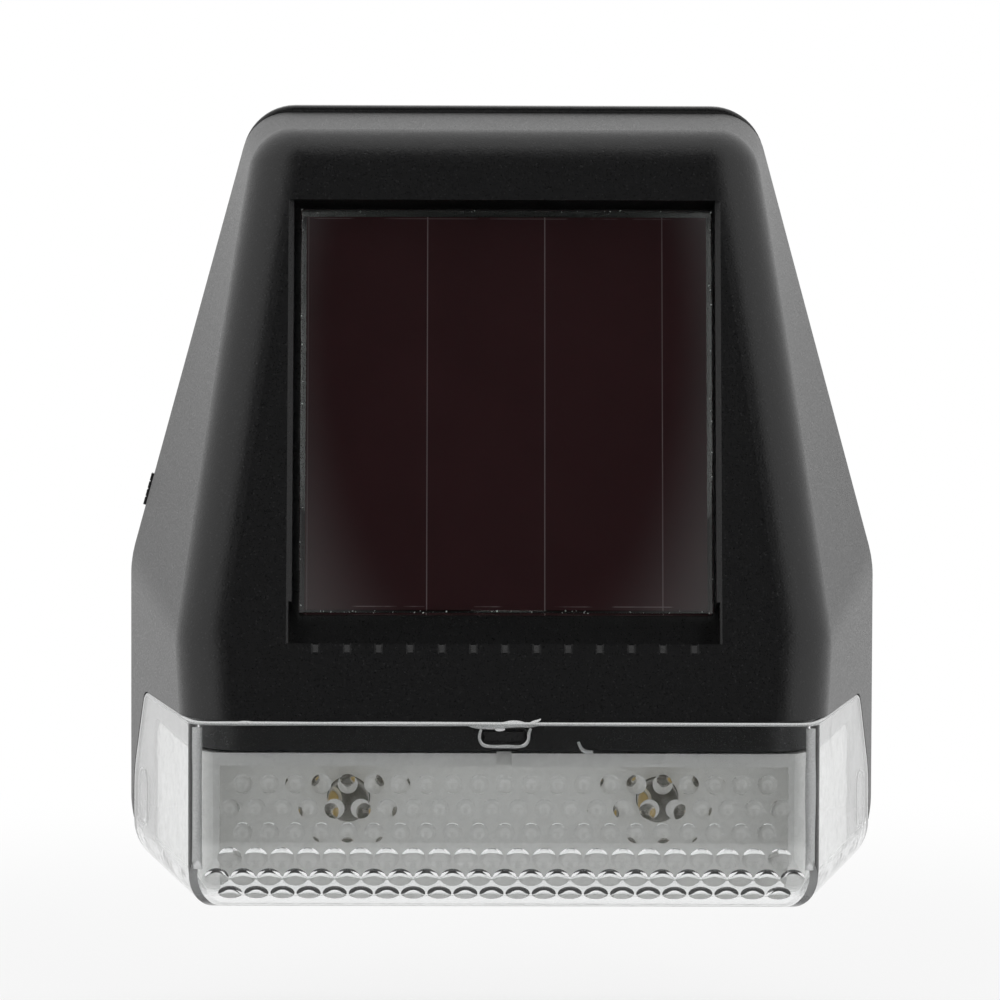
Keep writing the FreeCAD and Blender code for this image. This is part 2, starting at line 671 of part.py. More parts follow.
def rear_cover():
    blank = rear_prism(0, -COVER_DEPTH, 0, COVER_DRIP_LIP)
    blank = rounded_edges(blank, COVER_EDGE_RADIUS, lambda edge: abs(middle_of(edge).y + COVER_DEPTH) < NEAR)
    hollow = rear_prism(COVER_RIM, -COVER_DEPTH - AHEAD, -COVER_PLATE)
    tongue_inset = HOUSING_WALL + FIT_GAP + SIDE_DRAFT * (TONGUE_LENGTH - SEAL_THICKNESS)
    tongue = rear_prism(tongue_inset, -COVER_DEPTH - TONGUE_LENGTH, -COVER_PLATE)
    tongue = tongue.cut(rear_prism(tongue_inset + TONGUE_WALL, -LONG, LONG))
    tongue = tongue.common(block(-LONG, LONG, -LONG, LONG, REAR_SHOULDER, LONG))
    for x, z in SCREW_PLACES:
        for clear in both_sides(rod(BOSS_RADIUS + FIT_GAP, x, z, -LONG, -RIM_DEPTH + SEAL_THICKNESS)):
            tongue = tongue.cut(clear)
    solids = [blank.cut(hollow), tongue] + battery_cradle()
    for x, z in SCREW_PLACES:
        solids += [post.common(blank) for post in both_sides(rod(COVER_POST_RADIUS, x, z, -COVER_DEPTH, 0))]
    pocket_depth = COVER_PLATE + HANGER_POCKET
    for x in hanger_places():
        solids.append(hanger_box(x, HANGER_WALL, pocket_depth + HANGER_WALL))
    solid = fused(solids)
    cuts = [block(-LONG, LONG, -COVER_DEPTH - TONGUE_LENGTH, -COVER_DEPTH, -LONG, LONG).common(knob_slot()),
            knob_slot(), switch_room()]
    for x in hanger_places():
        cuts += keyhole(x) + [hanger_box(x, 0, pocket_depth).common(block(-LONG, LONG, -LONG, -COVER_PLATE,
                                                                          -LONG, LONG))]
    for x, z in SCREW_PLACES:
        cuts += both_sides(rod(SCREW_RADIUS + FIT_GAP, x, z, -LONG, LONG))
        cuts += both_sides(rod(COUNTERBORE_RADIUS, x, z, -COUNTERBORE_DEPTH, AHEAD))
    for cut in cuts:
        solid = solid.cut(cut)
    return solid


def cover_seal():
    """A flat ring between the cover's rim and the housing's, set back from both."""
    outer = rear_prism(SEAL_SET_BACK, -RIM_DEPTH, -COVER_DEPTH)
    return outer.cut(rear_prism(SEAL_SET_BACK + SEAL_WIDTH, -LONG, LONG))


def screw(x, z, seat, length, radius, head_radius, head_height):
    """A pan-head screw along Y: its head's underside is at seat, and its shank runs away from the wall."""
    head = rod(head_radius, x, z, seat, seat + head_height)
    top = seat + head_height
    head = rounded_edges(head, head_height / 2, lambda edge: abs(middle_of(edge).y - top) < NEAR)
    shank = rod(radius, x, z, seat - length + radius, seat)
    tip = Part.makeCone(radius, radius / 3, radius, Vector(x, seat - length + radius, z), Vector(0, -1, 0))
    body = fused([head, shank, tip])
    reach = CROSS_REACH * head_radius / SCREW_HEAD_RADIUS
    for half_x, half_z in ((reach, CROSS_HALF_WIDTH), (CROSS_HALF_WIDTH, reach)):
        body = body.cut(block(x - half_x, x + half_x, seat + head_height - CROSS_DEPTH, seat + LONG,
                              z - half_z, z + half_z))
    return body


def cover_screws():
    screws = []
    for x, z in SCREW_PLACES:
        screws += both_sides(screw(x, z, -COUNTERBORE_DEPTH, SCREW_LENGTH, SCREW_RADIUS, SCREW_HEAD_RADIUS,
                                   SCREW_HEAD_HEIGHT))
    return Part.makeCompound(screws)


# ---- Lens ----------------------------------------------------------------------------------------------
def lens_windows():
    """The latch's window right through the front, and a blind one inside each wing."""
    latch = [(-LATCH_HALF_WIDTH, LATCH_LOW), (LATCH_HALF_WIDTH, LATCH_LOW), (LATCH_HALF_WIDTH, LATCH_HIGH),
             (-LATCH_HALF_WIDTH, LATCH_HIGH)]
    wing = [(-WING_WINDOW_FRONT, WING_WINDOW_LOW), (-WING_WINDOW_REAR, WING_WINDOW_LOW),
            (-WING_WINDOW_REAR, WING_WINDOW_HIGH), (-WING_WINDOW_FRONT, WING_WINDOW_HIGH)]
    front = prism(latch, [LATCH_CORNER] * 4, lambda x, z: Vector(x, -LENS_DEPTH - AHEAD, z),
                  Vector(0, LENS_WALL + 2 * AHEAD, 0))
    sides = prism(wing, [WING_WINDOW_CORNER] * 4, lambda y, z: Vector(-LONG, y, z), Vector(2 * LONG, 0, 0))
    return [front, sides.common(tray_form(WING_SKIN, LENS_CORNER_RADIUS - WING_SKIN))]


def dome_sphere_radius(base):
    return (base ** 2 + DIMPLE_HEIGHT ** 2) / (2 * DIMPLE_HEIGHT)


def dimple_row(count, base, foot, inward):
    """A row of shallow domes on the lens's inner face, from the middle one's foot and its direction in."""
    radius = dome_sphere_radius(base)
    centre = foot - inward * (radius - DIMPLE_HEIGHT)
    start = DIMPLE_OFFSET_X - DIMPLE_PITCH * (count - 1) / 2
    return [Part.makeSphere(radius, centre + Vector(start + i * DIMPLE_PITCH, 0, 0)) for i in range(count)]


def lens_dimples():
    inner_face = tray_front(LENS_WALL)
    domes = []
    for height, count in DIMPLE_ROWS:
        domes += dimple_row(count, DIMPLE_RADIUS, Vector(0, inner_face, height), Vector(0, 1, 0))
    arc_radius = LENS_FRONT_FOOT_RADIUS - LENS_WALL
    slope = math.atan(LENS_FLOOR_RISE)
    lift = arc_radius * math.tan((math.pi / 2 + slope) / 2)
    axis = Vector(0, inner_face + arc_radius, floor_z(inner_face) + LENS_WALL + lift)
    for degrees, count in DIMPLE_CURVE_ROWS:
        angle = math.radians(degrees)
        inward = Vector(0, math.cos(angle), math.sin(angle))
        domes += dimple_row(count, DIMPLE_CURVE_RADIUS, axis - inward * arc_radius, inward)
    return domes


def lens():
    outside = tray_form(0, LENS_CORNER_RADIUS)
    inside = tray_form(LENS_WALL, LENS_CORNER_RADIUS - LENS_WALL)
    filled = outside.common(wing_zone(0))
    wall = filled.cut(inside)
    solid = wall.fuse([dome.common(filled) for dome in lens_dimples()])
    for window in lens_windows():
        solid = solid.cut(window)
    return solid


# ---- Reflector tray and lamps --------------------------------------------------------------------------
def under_lip(gap):
    """The space below the housing's lip and ahead of its side walls, less a gap on both."""
    rise = (LIP_FOOT_REAR - LIP_FOOT) / (LENS_DEPTH - LIGHT_OPENING_REAR)
    rear = -LIGHT_OPENING_REAR - gap
    foot_at_rear = LIP_FOOT_REAR - gap
    foot_at_front = foot_at_rear - rise * (LENS_DEPTH + rear)
    corners = [(-LONG, -LONG), (rear, -LONG), (rear, foot_at_rear), (-LENS_DEPTH, foot_at_front),
               (-LONG, foot_at_front)]
    return prism(corners, [0, 0, REFLECTOR_REAR_RADIUS, 0, 0], lambda y, z: Vector(-LONG, y, z),
                 Vector(2 * LONG, 0, 0))


def reflector_tray():
    """A white tray: a lamp chamber in front of its back wall, and the circuit board's bay behind it."""
    inset = LENS_WALL + REFLECTOR_GAP
    outer = tray_form(inset, REFLECTOR_CORNER_RADIUS)
    inner = tray_form(inset + REFLECTOR_WALL, REFLECTOR_CORNER_RADIUS - REFLECTOR_WALL)
    ahead = block(-LONG, LONG, -REFLECTOR_FRONT, LONG, -LONG, LONG)
    outer = outer.common(under_lip(LIP_FOOT - REFLECTOR_TOP)).common(ahead)
    ceiling = REFLECTOR_TOP - REFLECTOR_WALL
    mouth = block(-CHAMBER_HALF_WIDTH, CHAMBER_HALF_WIDTH, -LONG, -REFLECTOR_BACK_FACE, -LONG, ceiling)
    chamber = inner.common(block(-LONG, LONG, -LONG, -REFLECTOR_BACK_FACE, -LONG, ceiling)).fuse(mouth)
    bay = inner.common(block(-LONG, LONG, -REFLECTOR_REAR_FACE, LONG, -LONG, LONG))
    split = block(-REFLECTOR_SPLIT / 2, REFLECTOR_SPLIT / 2, -LONG, REFLECTOR_SPLIT_DEPTH - REFLECTOR_FRONT,
                  REFLECTOR_TOP - 2 * REFLECTOR_WALL, LONG)
    ear_plate = block(EAR_HALF_SPREAD - EAR_RADIUS, EAR_HALF_SPREAD + EAR_RADIUS, -REFLECTOR_BACK_FACE,
                      -REFLECTOR_REAR_FACE, REFLECTOR_TOP - REFLECTOR_WALL, EAR_HEIGHT)
    ear_round = rod(EAR_RADIUS, EAR_HALF_SPREAD, EAR_HEIGHT, -REFLECTOR_BACK_FACE, -REFLECTOR_REAR_FACE)
    post = rod(BOARD_POST_RADIUS, BOARD_POST_SPREAD, BOARD_POST_HEIGHT, -REFLECTOR_REAR_FACE - AHEAD,
               -BOARD_FRONT)
    solid = outer.cut(chamber).cut(bay).cut(split)
    solid = fused([solid] + both_sides(ear_plate) + both_sides(ear_round) + both_sides(post))
    holes = both_sides(rod(LED_RADIUS + LED_HOLE_GAP, LED_SPREAD, LED_HEIGHT, -LONG,
                           AHEAD - REFLECTOR_REAR_FACE))
    holes += both_sides(rod(SCREW_RADIUS + FIT_GAP, EAR_HALF_SPREAD, EAR_HEIGHT, -LONG, LONG))
    pilot = BOARD_SCREW_LENGTH - BOARD_THICKNESS
    holes += both_sides(rod(SMALL_SCREW_RADIUS + PILOT_GAP, BOARD_POST_SPREAD, BOARD_POST_HEIGHT,
                            -BOARD_FRONT - pilot, -BOARD_FRONT))
    for hole in holes:
        solid = solid.cut(hole)
    return solid


def reflector_screws():
    return Part.makeCompound(both_sides(screw(EAR_HALF_SPREAD, EAR_HEIGHT, -REFLECTOR_REAR_FACE,
                                              EAR_SCREW_LENGTH, SCREW_RADIUS, SCREW_HEAD_RADIUS,
                                              SCREW_HEAD_HEIGHT)))


def lead(x, y0, y1):
    half = LEAD_SIZE / 2
    return block(x - half, x + half, y0, y1, LED_HEIGHT - half, LED_HEIGHT + half)


def led_frame(x):
    """A lamp's two leads: a post with the chip's cup, and a shorter post beside it, with their tails."""
    tail = -BOARD_REAR + LEAD_TAIL
    cup_top = -REFLECTOR_REAR_FACE - LED_POST_HEIGHT
    cup_place = Vector(x - LEAD_PITCH / 2, cup_top, LED_HEIGHT)
    cup = Part.makeCone(LED_CUP_RADIUS, LEAD_SIZE / 2, LED_CUP_HEIGHT, cup_place, Vector(0, 1, 0))
    bowl = Part.makeCone(LED_CUP_RADIUS * LED_BOWL_SHARE, LEAD_SIZE / 4, LED_CUP_HEIGHT / 2, cup_place,
                         Vector(0, 1, 0))
    cathode = fused([lead(x - LEAD_PITCH / 2, cup_top + LED_CUP_HEIGHT / 2, tail), cup]).cut(bowl)
    anode = lead(x + LEAD_PITCH / 2, cup_top + LED_CUP_HEIGHT / 2, tail)
    return [cathode, anode]


def led_body(x):
    base = -BOARD_FRONT
    rim = rod(LED_RIM_RADIUS, x, LED_HEIGHT, -REFLECTOR_REAR_FACE, base)
    dome_centre = -REFLECTOR_REAR_FACE - LED_BARREL
    barrel = rod(LED_RADIUS, x, LED_HEIGHT, dome_centre, -REFLECTOR_REAR_FACE)
    dome = Part.makeSphere(LED_RADIUS, Vector(x, dome_centre, LED_HEIGHT))
    body = fused([rim, barrel, dome])
    for part in led_frame(x):
        body = body.cut(part)
    return body


def led_leads():
    return Part.makeCompound(led_frame(-LED_SPREAD) + led_frame(LED_SPREAD))


# ---- Circuit board and its parts -----------------------------------------------------------------------
def lead_places():
    offset = LEAD_PITCH / 2
    return [side * LED_SPREAD + shift for side in (-1, 1) for shift in (-offset, offset)]


def circuit_board():
    board = block(-BOARD_HALF_WIDTH, BOARD_HALF_WIDTH, -BOARD_FRONT, -BOARD_REAR, BOARD_FOOT, BOARD_TOP)
    half = LEAD_SIZE / 2 + HOLE_GAP
    low, high = LED_HEIGHT - half, LED_HEIGHT + half
    cuts = [block(x - half, x + half, -LONG, LONG, low, high) for x in lead_places()]
    cuts += both_sides(rod(SMALL_SCREW_RADIUS + HOLE_GAP, BOARD_POST_SPREAD, BOARD_POST_HEIGHT, -LONG, LONG))
    for cut in cuts:
        board = board.cut(cut)
    return board


def board_screws():
    right = screw(BOARD_POST_SPREAD, BOARD_POST_HEIGHT, -BOARD_REAR, BOARD_SCREW_LENGTH, SMALL_SCREW_RADIUS,
                  SMALL_SCREW_HEAD_RADIUS, SMALL_SCREW_HEAD_HEIGHT)
    return Part.makeCompound(both_sides(right))


def board_solder():
    """Round joints where the lamps' leads and the wires meet the board."""
    joints = []
    for x in lead_places():
        joint = rod(SOLDER_RADIUS, x, LED_HEIGHT, -BOARD_REAR, -BOARD_REAR + SOLDER_THICKNESS)
        joints.append(joint.cut(lead(x, -LONG, LONG)))
    for points in WIRE_ROUTES.values():
        end = points[-1]
        if abs(end[1] + BOARD_REAR - SOLDER_THICKNESS) < NEAR:
            joints.append(rod(SOLDER_RADIUS, end[0], end[2], -BOARD_REAR, -BOARD_REAR + SOLDER_THICKNESS))
    return Part.makeCompound(joints)


def driver_chip():
    x, z = CHIP_PLACE
    low = -BOARD_REAR + PART_LIFT / 2
    return block(x - CHIP_WIDTH / 2, x + CHIP_WIDTH / 2, low, low + CHIP_THICKNESS, z - CHIP_HEIGHT / 2,
                 z + CHIP_HEIGHT / 2)


def chip_pins():
    """Gull-wing pins along the chip's upper and lower edges."""
    x, z = CHIP_PLACE
    start = x - CHIP_PIN_PITCH * (CHIP_PIN_COUNT - 1) / 2
    top = -BOARD_REAR + PART_LIFT / 2 + CHIP_THICKNESS / 2
    pins = []
    for i in range(CHIP_PIN_COUNT):
        x0 = start + i * CHIP_PIN_PITCH - CHIP_PIN_WIDTH / 2
        x1 = x0 + CHIP_PIN_WIDTH
        for side in (-1, 1):
            edge = z + side * CHIP_HEIGHT / 2
            knee = edge + side * CHIP_PIN_REACH / 2
            toe = edge + side * CHIP_PIN_REACH
            bridge = block(x0, x1, top - CHIP_PIN_THICKNESS, top, min(edge, knee), max(edge, knee))
            drop = block(x0, x1, -BOARD_REAR, top, min(knee, knee - side * CHIP_PIN_THICKNESS),
                         max(knee, knee - side * CHIP_PIN_THICKNESS))
            foot = block(x0, x1, -BOARD_REAR, -BOARD_REAR + CHIP_PIN_THICKNESS, min(knee, toe),
                         max(knee, toe))
            pins.append(fused([bridge, drop, foot]))
    return Part.makeCompound(pins)


def choke_coil():
    """A small moulded choke lying on the board, with its two leads bent down to it."""
    x, z = COIL_PLACE
    axis_y = -BOARD_REAR + COIL_RADIUS + PART_LIFT / 2
    body = Part.makeCylinder(COIL_RADIUS, COIL_LENGTH, Vector(x - COIL_LENGTH / 2, axis_y, z),
                             Vector(1, 0, 0))
    body = body.makeFillet(COIL_RADIUS / 2, [edge for edge in body.Edges if edge.Closed])
    shapes = [body]
    for side in (-1, 1):
        end = x + side * COIL_LENGTH / 2
        tip = end + side * COIL_LEAD_REACH
        shapes.append(Part.makeCylinder(COIL_LEAD_RADIUS, abs(tip - end), Vector(end, axis_y, z),
                                        Vector(side, 0, 0)))
        shapes.append(Part.makeSphere(COIL_LEAD_RADIUS, Vector(tip, axis_y, z)))
        shapes.append(rod(COIL_LEAD_RADIUS, tip, z, -BOARD_REAR, axis_y))
    return fused(shapes)


def filter_capacitor():
    x, z = CAPACITOR_PLACE
    body = rod(CAPACITOR_RADIUS, x, z, -BOARD_REAR, -BOARD_REAR + CAPACITOR_THICKNESS)
    top = CAPACITOR_THICKNESS - BOARD_REAR
    return rounded_edges(body, CAPACITOR_THICKNESS / 3, lambda edge: abs(middle_of(edge).y - top) < NEAR)


# ---- Solar panel ---------------------------------------------------------------------------------------
def panel_plate(margin, front, thickness):
    """A square plate, margin in from the glass's edge, with its front face that far below the housing's."""
    half = PANEL_SIDE / 2 - margin
    return set_in_face(block(PANEL_OFFSET_X - half, PANEL_OFFSET_X + half, -half, half, -front - thickness,
                             -front))


def solar_glass():
    return panel_plate(0, GLASS_SUNK, GLASS_THICKNESS)


def solar_cell_film():
    return panel_plate(FILM_MARGIN, GLASS_SUNK + GLASS_THICKNESS, FILM_THICKNESS)


def film_rear():
    return GLASS_SUNK + GLASS_THICKNESS + FILM_THICKNESS


def panel_busbars():
    """The two foil strips that gather the film's current, each with a branch that runs in to a solder pad."""
    half = PANEL_SIDE / 2 - FILM_MARGIN - TAPE_WIDTH
    rear = -film_rear()
    strips = []
    for side in (-1, 1):
        edge = PANEL_OFFSET_X + side * half
        inner = edge - side * BUSBAR_WIDTH
        pad = side * PAD_SPREAD / 2
        strip = block(min(edge, inner), max(edge, inner), -half, half, rear - BUSBAR_THICKNESS, rear)
        branch = block(min(edge, pad), max(edge, pad), -PAD_DROP - BUSBAR_WIDTH / 2,
                       -PAD_DROP + BUSBAR_WIDTH / 2, rear - BUSBAR_THICKNESS, rear)
        strips.append(set_in_face(fused([strip, branch])))
    return Part.makeCompound(strips)


def panel_tape():
    """The foam tape frame that holds the panel to the floor of its recess."""
    outer = panel_plate(FILM_MARGIN, film_rear(), TAPE_THICKNESS)
    return outer.cut(panel_plate(FILM_MARGIN + TAPE_WIDTH, film_rear() - AHEAD, TAPE_THICKNESS + 2 * AHEAD))


def panel_pads():
    front = -film_rear() - BUSBAR_THICKNESS
    pads = [Part.makeCylinder(PAD_RADIUS, PAD_THICKNESS, Vector(side * PAD_SPREAD / 2, -PAD_DROP, front),
                              Vector(0, 0, -1)) for side in (-1, 1)]
    return Part.makeCompound([set_in_face(pad) for pad in pads])


# ---- Battery -------------------------------------------------------------------------------------------
def battery_cell():
    """A small rechargeable cell lying across the cover, its positive end towards the switch."""
    can_length = CELL_LENGTH - CELL_NUB_LENGTH
    can = Part.makeCylinder(CELL_RADIUS, can_length, Vector(CELL_NUB_LENGTH - CELL_LENGTH / 2, -CELL_DEPTH,
                            CELL_HEIGHT), Vector(1, 0, 0))
    nub = Part.makeCylinder(CELL_NUB_RADIUS, CELL_NUB_LENGTH, Vector(-CELL_LENGTH / 2, -CELL_DEPTH,
                            CELL_HEIGHT), Vector(1, 0, 0))
    return fused([can, nub])


def battery_sleeve():
    """The cell's printed plastic wrapper, left plain."""
    length = CELL_LENGTH - CELL_NUB_LENGTH
    start = Vector(CELL_NUB_LENGTH - CELL_LENGTH / 2, -CELL_DEPTH, CELL_HEIGHT)
    tube = Part.makeCylinder(sleeve_radius(), length, start, Vector(1, 0, 0))
    return tube.cut(Part.makeCylinder(CELL_RADIUS + SLEEVE_GAP, length, start, Vector(1, 0, 0)))


def contact_plate(inner, outer):
    half = CONTACT_SIDE / 2 - CONTACT_THICKNESS
    return block(min(inner, outer), max(inner, outer), -CELL_DEPTH - half, -CELL_DEPTH + half,
                 CELL_HEIGHT - half, CELL_HEIGHT + half)


def positive_contact():
    wall = cradle_ends()[0]
    plate = contact_plate(wall, wall + CONTACT_THICKNESS)
    tab = block(wall, wall + CONTACT_THICKNESS, -CELL_DEPTH - CONTACT_SIDE / 2 - CONTACT_TAB,
                -CELL_DEPTH - CONTACT_SIDE / 2 + AHEAD, CELL_HEIGHT - CONTACT_LEAF_WIDTH / 2,
                CELL_HEIGHT + CONTACT_LEAF_WIDTH / 2)
    return fused([plate, tab])


def negative_contact():
    """A plate with a folded leaf that presses on the flat end of the cell."""
    wall = cradle_ends()[1]
    half = CONTACT_SIDE / 2 - CONTACT_THICKNESS
    plate = contact_plate(wall - CONTACT_THICKNESS, wall)
    cell_end = CELL_LENGTH / 2
    foot = Vector(wall - CONTACT_THICKNESS, -CELL_DEPTH - half, 0)
    low = CELL_HEIGHT - CONTACT_LEAF_WIDTH / 2
    rise = (-CELL_DEPTH) - foot.y
    profile = [(wall, foot.y), (wall - CONTACT_THICKNESS, foot.y), (cell_end, foot.y + rise),
               (cell_end, foot.y + rise + CONTACT_THICKNESS * 3), (cell_end + CONTACT_THICKNESS,
               foot.y + rise + CONTACT_THICKNESS * 3), (cell_end + CONTACT_THICKNESS, foot.y + rise),
               (wall, foot.y + CONTACT_THICKNESS)]
    leaf = prism(profile, [0] * len(profile), lambda x, y: Vector(x, y, low),
                 Vector(0, 0, CONTACT_LEAF_WIDTH))
    tab = block(wall - CONTACT_THICKNESS, wall, -CELL_DEPTH - CONTACT_SIDE / 2 - CONTACT_TAB,
                -CELL_DEPTH - CONTACT_SIDE / 2 + AHEAD, low, low + CONTACT_LEAF_WIDTH)
    return fused([plate, leaf, tab])


# ---- Switch --------------------------------------------------------------------------------------------
def switch_limits():
    """How far in from the cover's edge the switch's body lies, and Y of its front and rear."""
    outer = -SWITCH_SET_BACK
    return outer - SWITCH_WIDTH, outer, -COVER_PLATE - SWITCH_THICKNESS, -COVER_PLATE


def switch_block(grow):
    inner, outer, front, rear = switch_limits()
    half = SWITCH_LENGTH / 2 + grow
    middle = KNOB_TRAVEL / 2
    return block(inner - grow, outer + grow, front - grow, rear, middle - half, middle + half)


def switch_room():
    """The space that the cover's rim and tongue leave for the switch."""
    return beside_left_edge(switch_block(FIT_GAP))


def stem_middle():
    front, rear = knob_limits()
    return (front + rear) / 2


def switch_body():
    """A small slide switch seated on the cover's plate, with a groove that its knob's stem runs in."""
    outer = switch_limits()[1]
    half_y = STEM_THICKNESS / 2 + KNOB_GAP
    half_z = STEM_LENGTH / 2 + KNOB_GAP
    groove = block(outer - STEM_REACH - KNOB_GAP, outer + AHEAD, stem_middle() - half_y,
                   stem_middle() + half_y, -half_z, half_z + KNOB_TRAVEL)
    return beside_left_edge(switch_block(0).cut(groove))


def switch_knob():
    front, rear = knob_limits()
    outer = switch_limits()[1]
    half = KNOB_LENGTH / 2
    tab = block(outer + KNOB_GAP, KNOB_PROUD, front, rear, -half, half)
    stem = block(outer - STEM_REACH, outer + 2 * KNOB_GAP, stem_middle() - STEM_THICKNESS / 2,
                 stem_middle() + STEM_THICKNESS / 2, -STEM_LENGTH / 2, STEM_LENGTH / 2)
    knob = fused([tab, stem])
    pitch = KNOB_LENGTH / (KNOB_RIB_COUNT + 1)
    for i in range(KNOB_RIB_COUNT):
        z = -half + (i + 1) * pitch
        knob = knob.cut(block(KNOB_PROUD - KNOB_RIB_DEPTH, KNOB_PROUD + AHEAD, front - AHEAD, rear + AHEAD,
                              z - KNOB_RIB_DEPTH, z + KNOB_RIB_DEPTH))
    return beside_left_edge(knob)


def terminal_height(number):
    return KNOB_TRAVEL / 2 + number * TERMINAL_PITCH


def switch_terminals():
    inner, outer, front, rear = switch_limits()
    middle = (front + rear) / 2
    pins = [block(inner - TERMINAL_LENGTH, inner, middle - TERMINAL_THICKNESS / 2,
                  middle + TERMINAL_THICKNESS / 2, terminal_height(i) - TERMINAL_WIDTH / 2,
                  terminal_height(i) + TERMINAL_WIDTH / 2) for i in (-1, 0, 1)]
    return Part.makeCompound([beside_left_edge(pin) for pin in pins])


# ---- Wires ---------------------------------------------------------------------------------------------
def point_in_face(x, up, out):
    return on_face_frame().multVec(Vector(x, up, out))


def terminal_tip(number):
    """The middle of a switch terminal's end, as a point."""
    inner, outer, front, rear = switch_limits()
    return point_beside_left_edge(inner - TERMINAL_LENGTH, (front + rear) / 2, terminal_height(number))


def curved_route(start, leaving, end, arriving, stubs, slack):
    """Corner points of a wire: a straight stub at each end, and points spread along the bend between them."""
    first = start + leaving * stubs[0]
    last = end - arriving * stubs[1]
    reach = (last - first).Length * slack
    poles = [first, first + leaving * reach, last - arriving * reach, last]
    bend = Part.BezierCurve()
    bend.setPoles(poles)
    count = max(2, round(bend.length() / WIRE_RUN))
    return [start] + bend.discretize(Number=count + 1) + [end]


def wire_routes():
    """Each wire's corner points from one joint to the other."""
    board = -BOARD_REAR + SOLDER_THICKNESS
    pad_rear = -film_rear() - BUSBAR_THICKNESS - PAD_THICKNESS
    out_of_panel = on_face_frame().Rotation.multVec(Vector(0, 0, -1))
    to_board = Vector(0, -1, 0)
    stubs = (WIRE_STUB, WIRE_STUB)
    routes = {}
    for name, side in (("panel_wire_positive", -1), ("panel_wire_negative", 1)):
        pad = point_in_face(side * PAD_SPREAD / 2, -PAD_DROP, pad_rear)
        joint = Vector(side * PANEL_JOINT_SPREAD, board, JOINT_HEIGHT)
        routes[name] = curved_route(pad, out_of_panel, joint, to_board, stubs, PANEL_WIRE_SLACK)
    tab_y = -CELL_DEPTH - CONTACT_SIDE / 2 - CONTACT_TAB / 2
    positive_tab, negative_tab = (Vector(x, tab_y, CELL_HEIGHT) for x in cradle_ends())
    outward = Vector(-math.cos(LEAN_ANGLE), 0, math.sin(LEAN_ANGLE))
    routes["battery_wire_positive"] = curved_route(positive_tab, Vector(-1, 0, 0), terminal_tip(0), outward,
                                                   (WIRE_STUB, SWITCH_STUB), SWITCH_WIRE_SLACK)
    left_joint = Vector(-BATTERY_JOINT_SPREAD, board, JOINT_HEIGHT)
    routes["switch_wire"] = curved_route(terminal_tip(-1), -outward, left_joint, to_board, stubs,
                                         BATTERY_WIRE_SLACK)
    right_joint = Vector(BATTERY_JOINT_SPREAD, board, JOINT_HEIGHT)
    routes["battery_wire_negative"] = curved_route(negative_tab, Vector(1, 0, 0), right_joint, to_board,
                                                   stubs, BATTERY_WIRE_SLACK)
    return routes


def wire(name, points):
    """A round tube along straight runs joined by arcs as large as the runs allow."""
    edges, here, tightest = [], points[0], LONG
    for i in range(1, len(points) - 1):
        corner = points[i]
        back, on = points[i - 1] - corner, points[i + 1] - corner
        shorter = min(back.Length, on.Length)
        half_turn = (math.pi - back.getAngle(on)) / 2
        reach = ARC_SHARE * shorter
        radius = reach / math.tan(half_turn)
        tightest = min(tightest, radius)
        back.normalize()
        on.normalize()
        start, end = corner + back * reach, corner + on * reach
        middle = corner + (back + on).normalize() * (radius / math.cos(half_turn) - radius)
        edges += [Part.makeLine(here, start), Part.Arc(start, middle, end).toShape()]
        here = end
    edges.append(Part.makeLine(here, points[-1]))
    path = Part.Wire(edges)
    first = points[1] - points[0]
    section = Part.Wire(Part.makeCircle(WIRE_RADIUS, points[0], first))
    tube = path.makePipeShell([section], True, False)
    section_area = math.pi * WIRE_RADIUS ** 2
    print(f"{name}: length {path.Length:.1f} mm, tightest radius {tightest:.1f} mm, "
          f"volume {tube.Volume / (section_area * path.Length):.3f} of its section times its length")
    return tube


# ---- Output --------------------------------------------------------------------------------------------
WIRE_ROUTES = wire_routes()


def write(name, shape):
    shape = shape.copy()
    shape.translate(Vector(0, 0, -HANGER_HEIGHT))
    if not shape.isValid():
        print(f"{name} isn't valid")
    shape.exportStep(f"parts/{name}.step")


def main():
    os.makedirs("parts", exist_ok=True)
    pieces = {
        "front_housing": front_housing(),
        "rear_cover": rear_cover(),
        "cover_seal": cover_seal(),
        "cover_screws": cover_screws(),
        "lens": lens(),
        "reflector_tray": reflector_tray(),
        "reflector_screws": reflector_screws(),
        "led_left": led_body(-LED_SPREAD),
        "led_right": led_body(LED_SPREAD),
        "led_leads": led_leads(),
        "circuit_board": circuit_board(),
        "board_screws": board_screws(),
        "board_solder": board_solder(),
        "driver_chip": driver_chip(),
        "chip_pins": chip_pins(),
        "choke_coil": choke_coil(),
        "filter_capacitor": filter_capacitor(),
        "solar_glass": solar_glass(),
        "solar_cell_film": solar_cell_film(),
        "panel_busbars": panel_busbars(),
        "panel_tape": panel_tape(),
        "panel_pads": panel_pads(),
        "battery_cell": battery_cell(),
        "battery_sleeve": battery_sleeve(),
        "positive_contact": positive_contact(),
        "negative_contact": negative_contact(),
        "switch_body": switch_body(),
        "switch_knob": switch_knob(),
        "switch_terminals": switch_terminals(),
    }
    for name, points in WIRE_ROUTES.items():
        pieces[name] = wire(name, points)
    for name, shape in pieces.items():
        write(name, shape)


main()
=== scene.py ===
"""Solar fence light: finishes, lamps, glass and moulding flash, dressed round the fixed frame.

Metres. X runs to the right, Y into the wall, Z up, with the origin between the two wall screws.
"""
import math
import random

import bpy
from bpy.props import FloatProperty, FloatVectorProperty, IntProperty, PointerProperty
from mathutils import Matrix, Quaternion, Vector


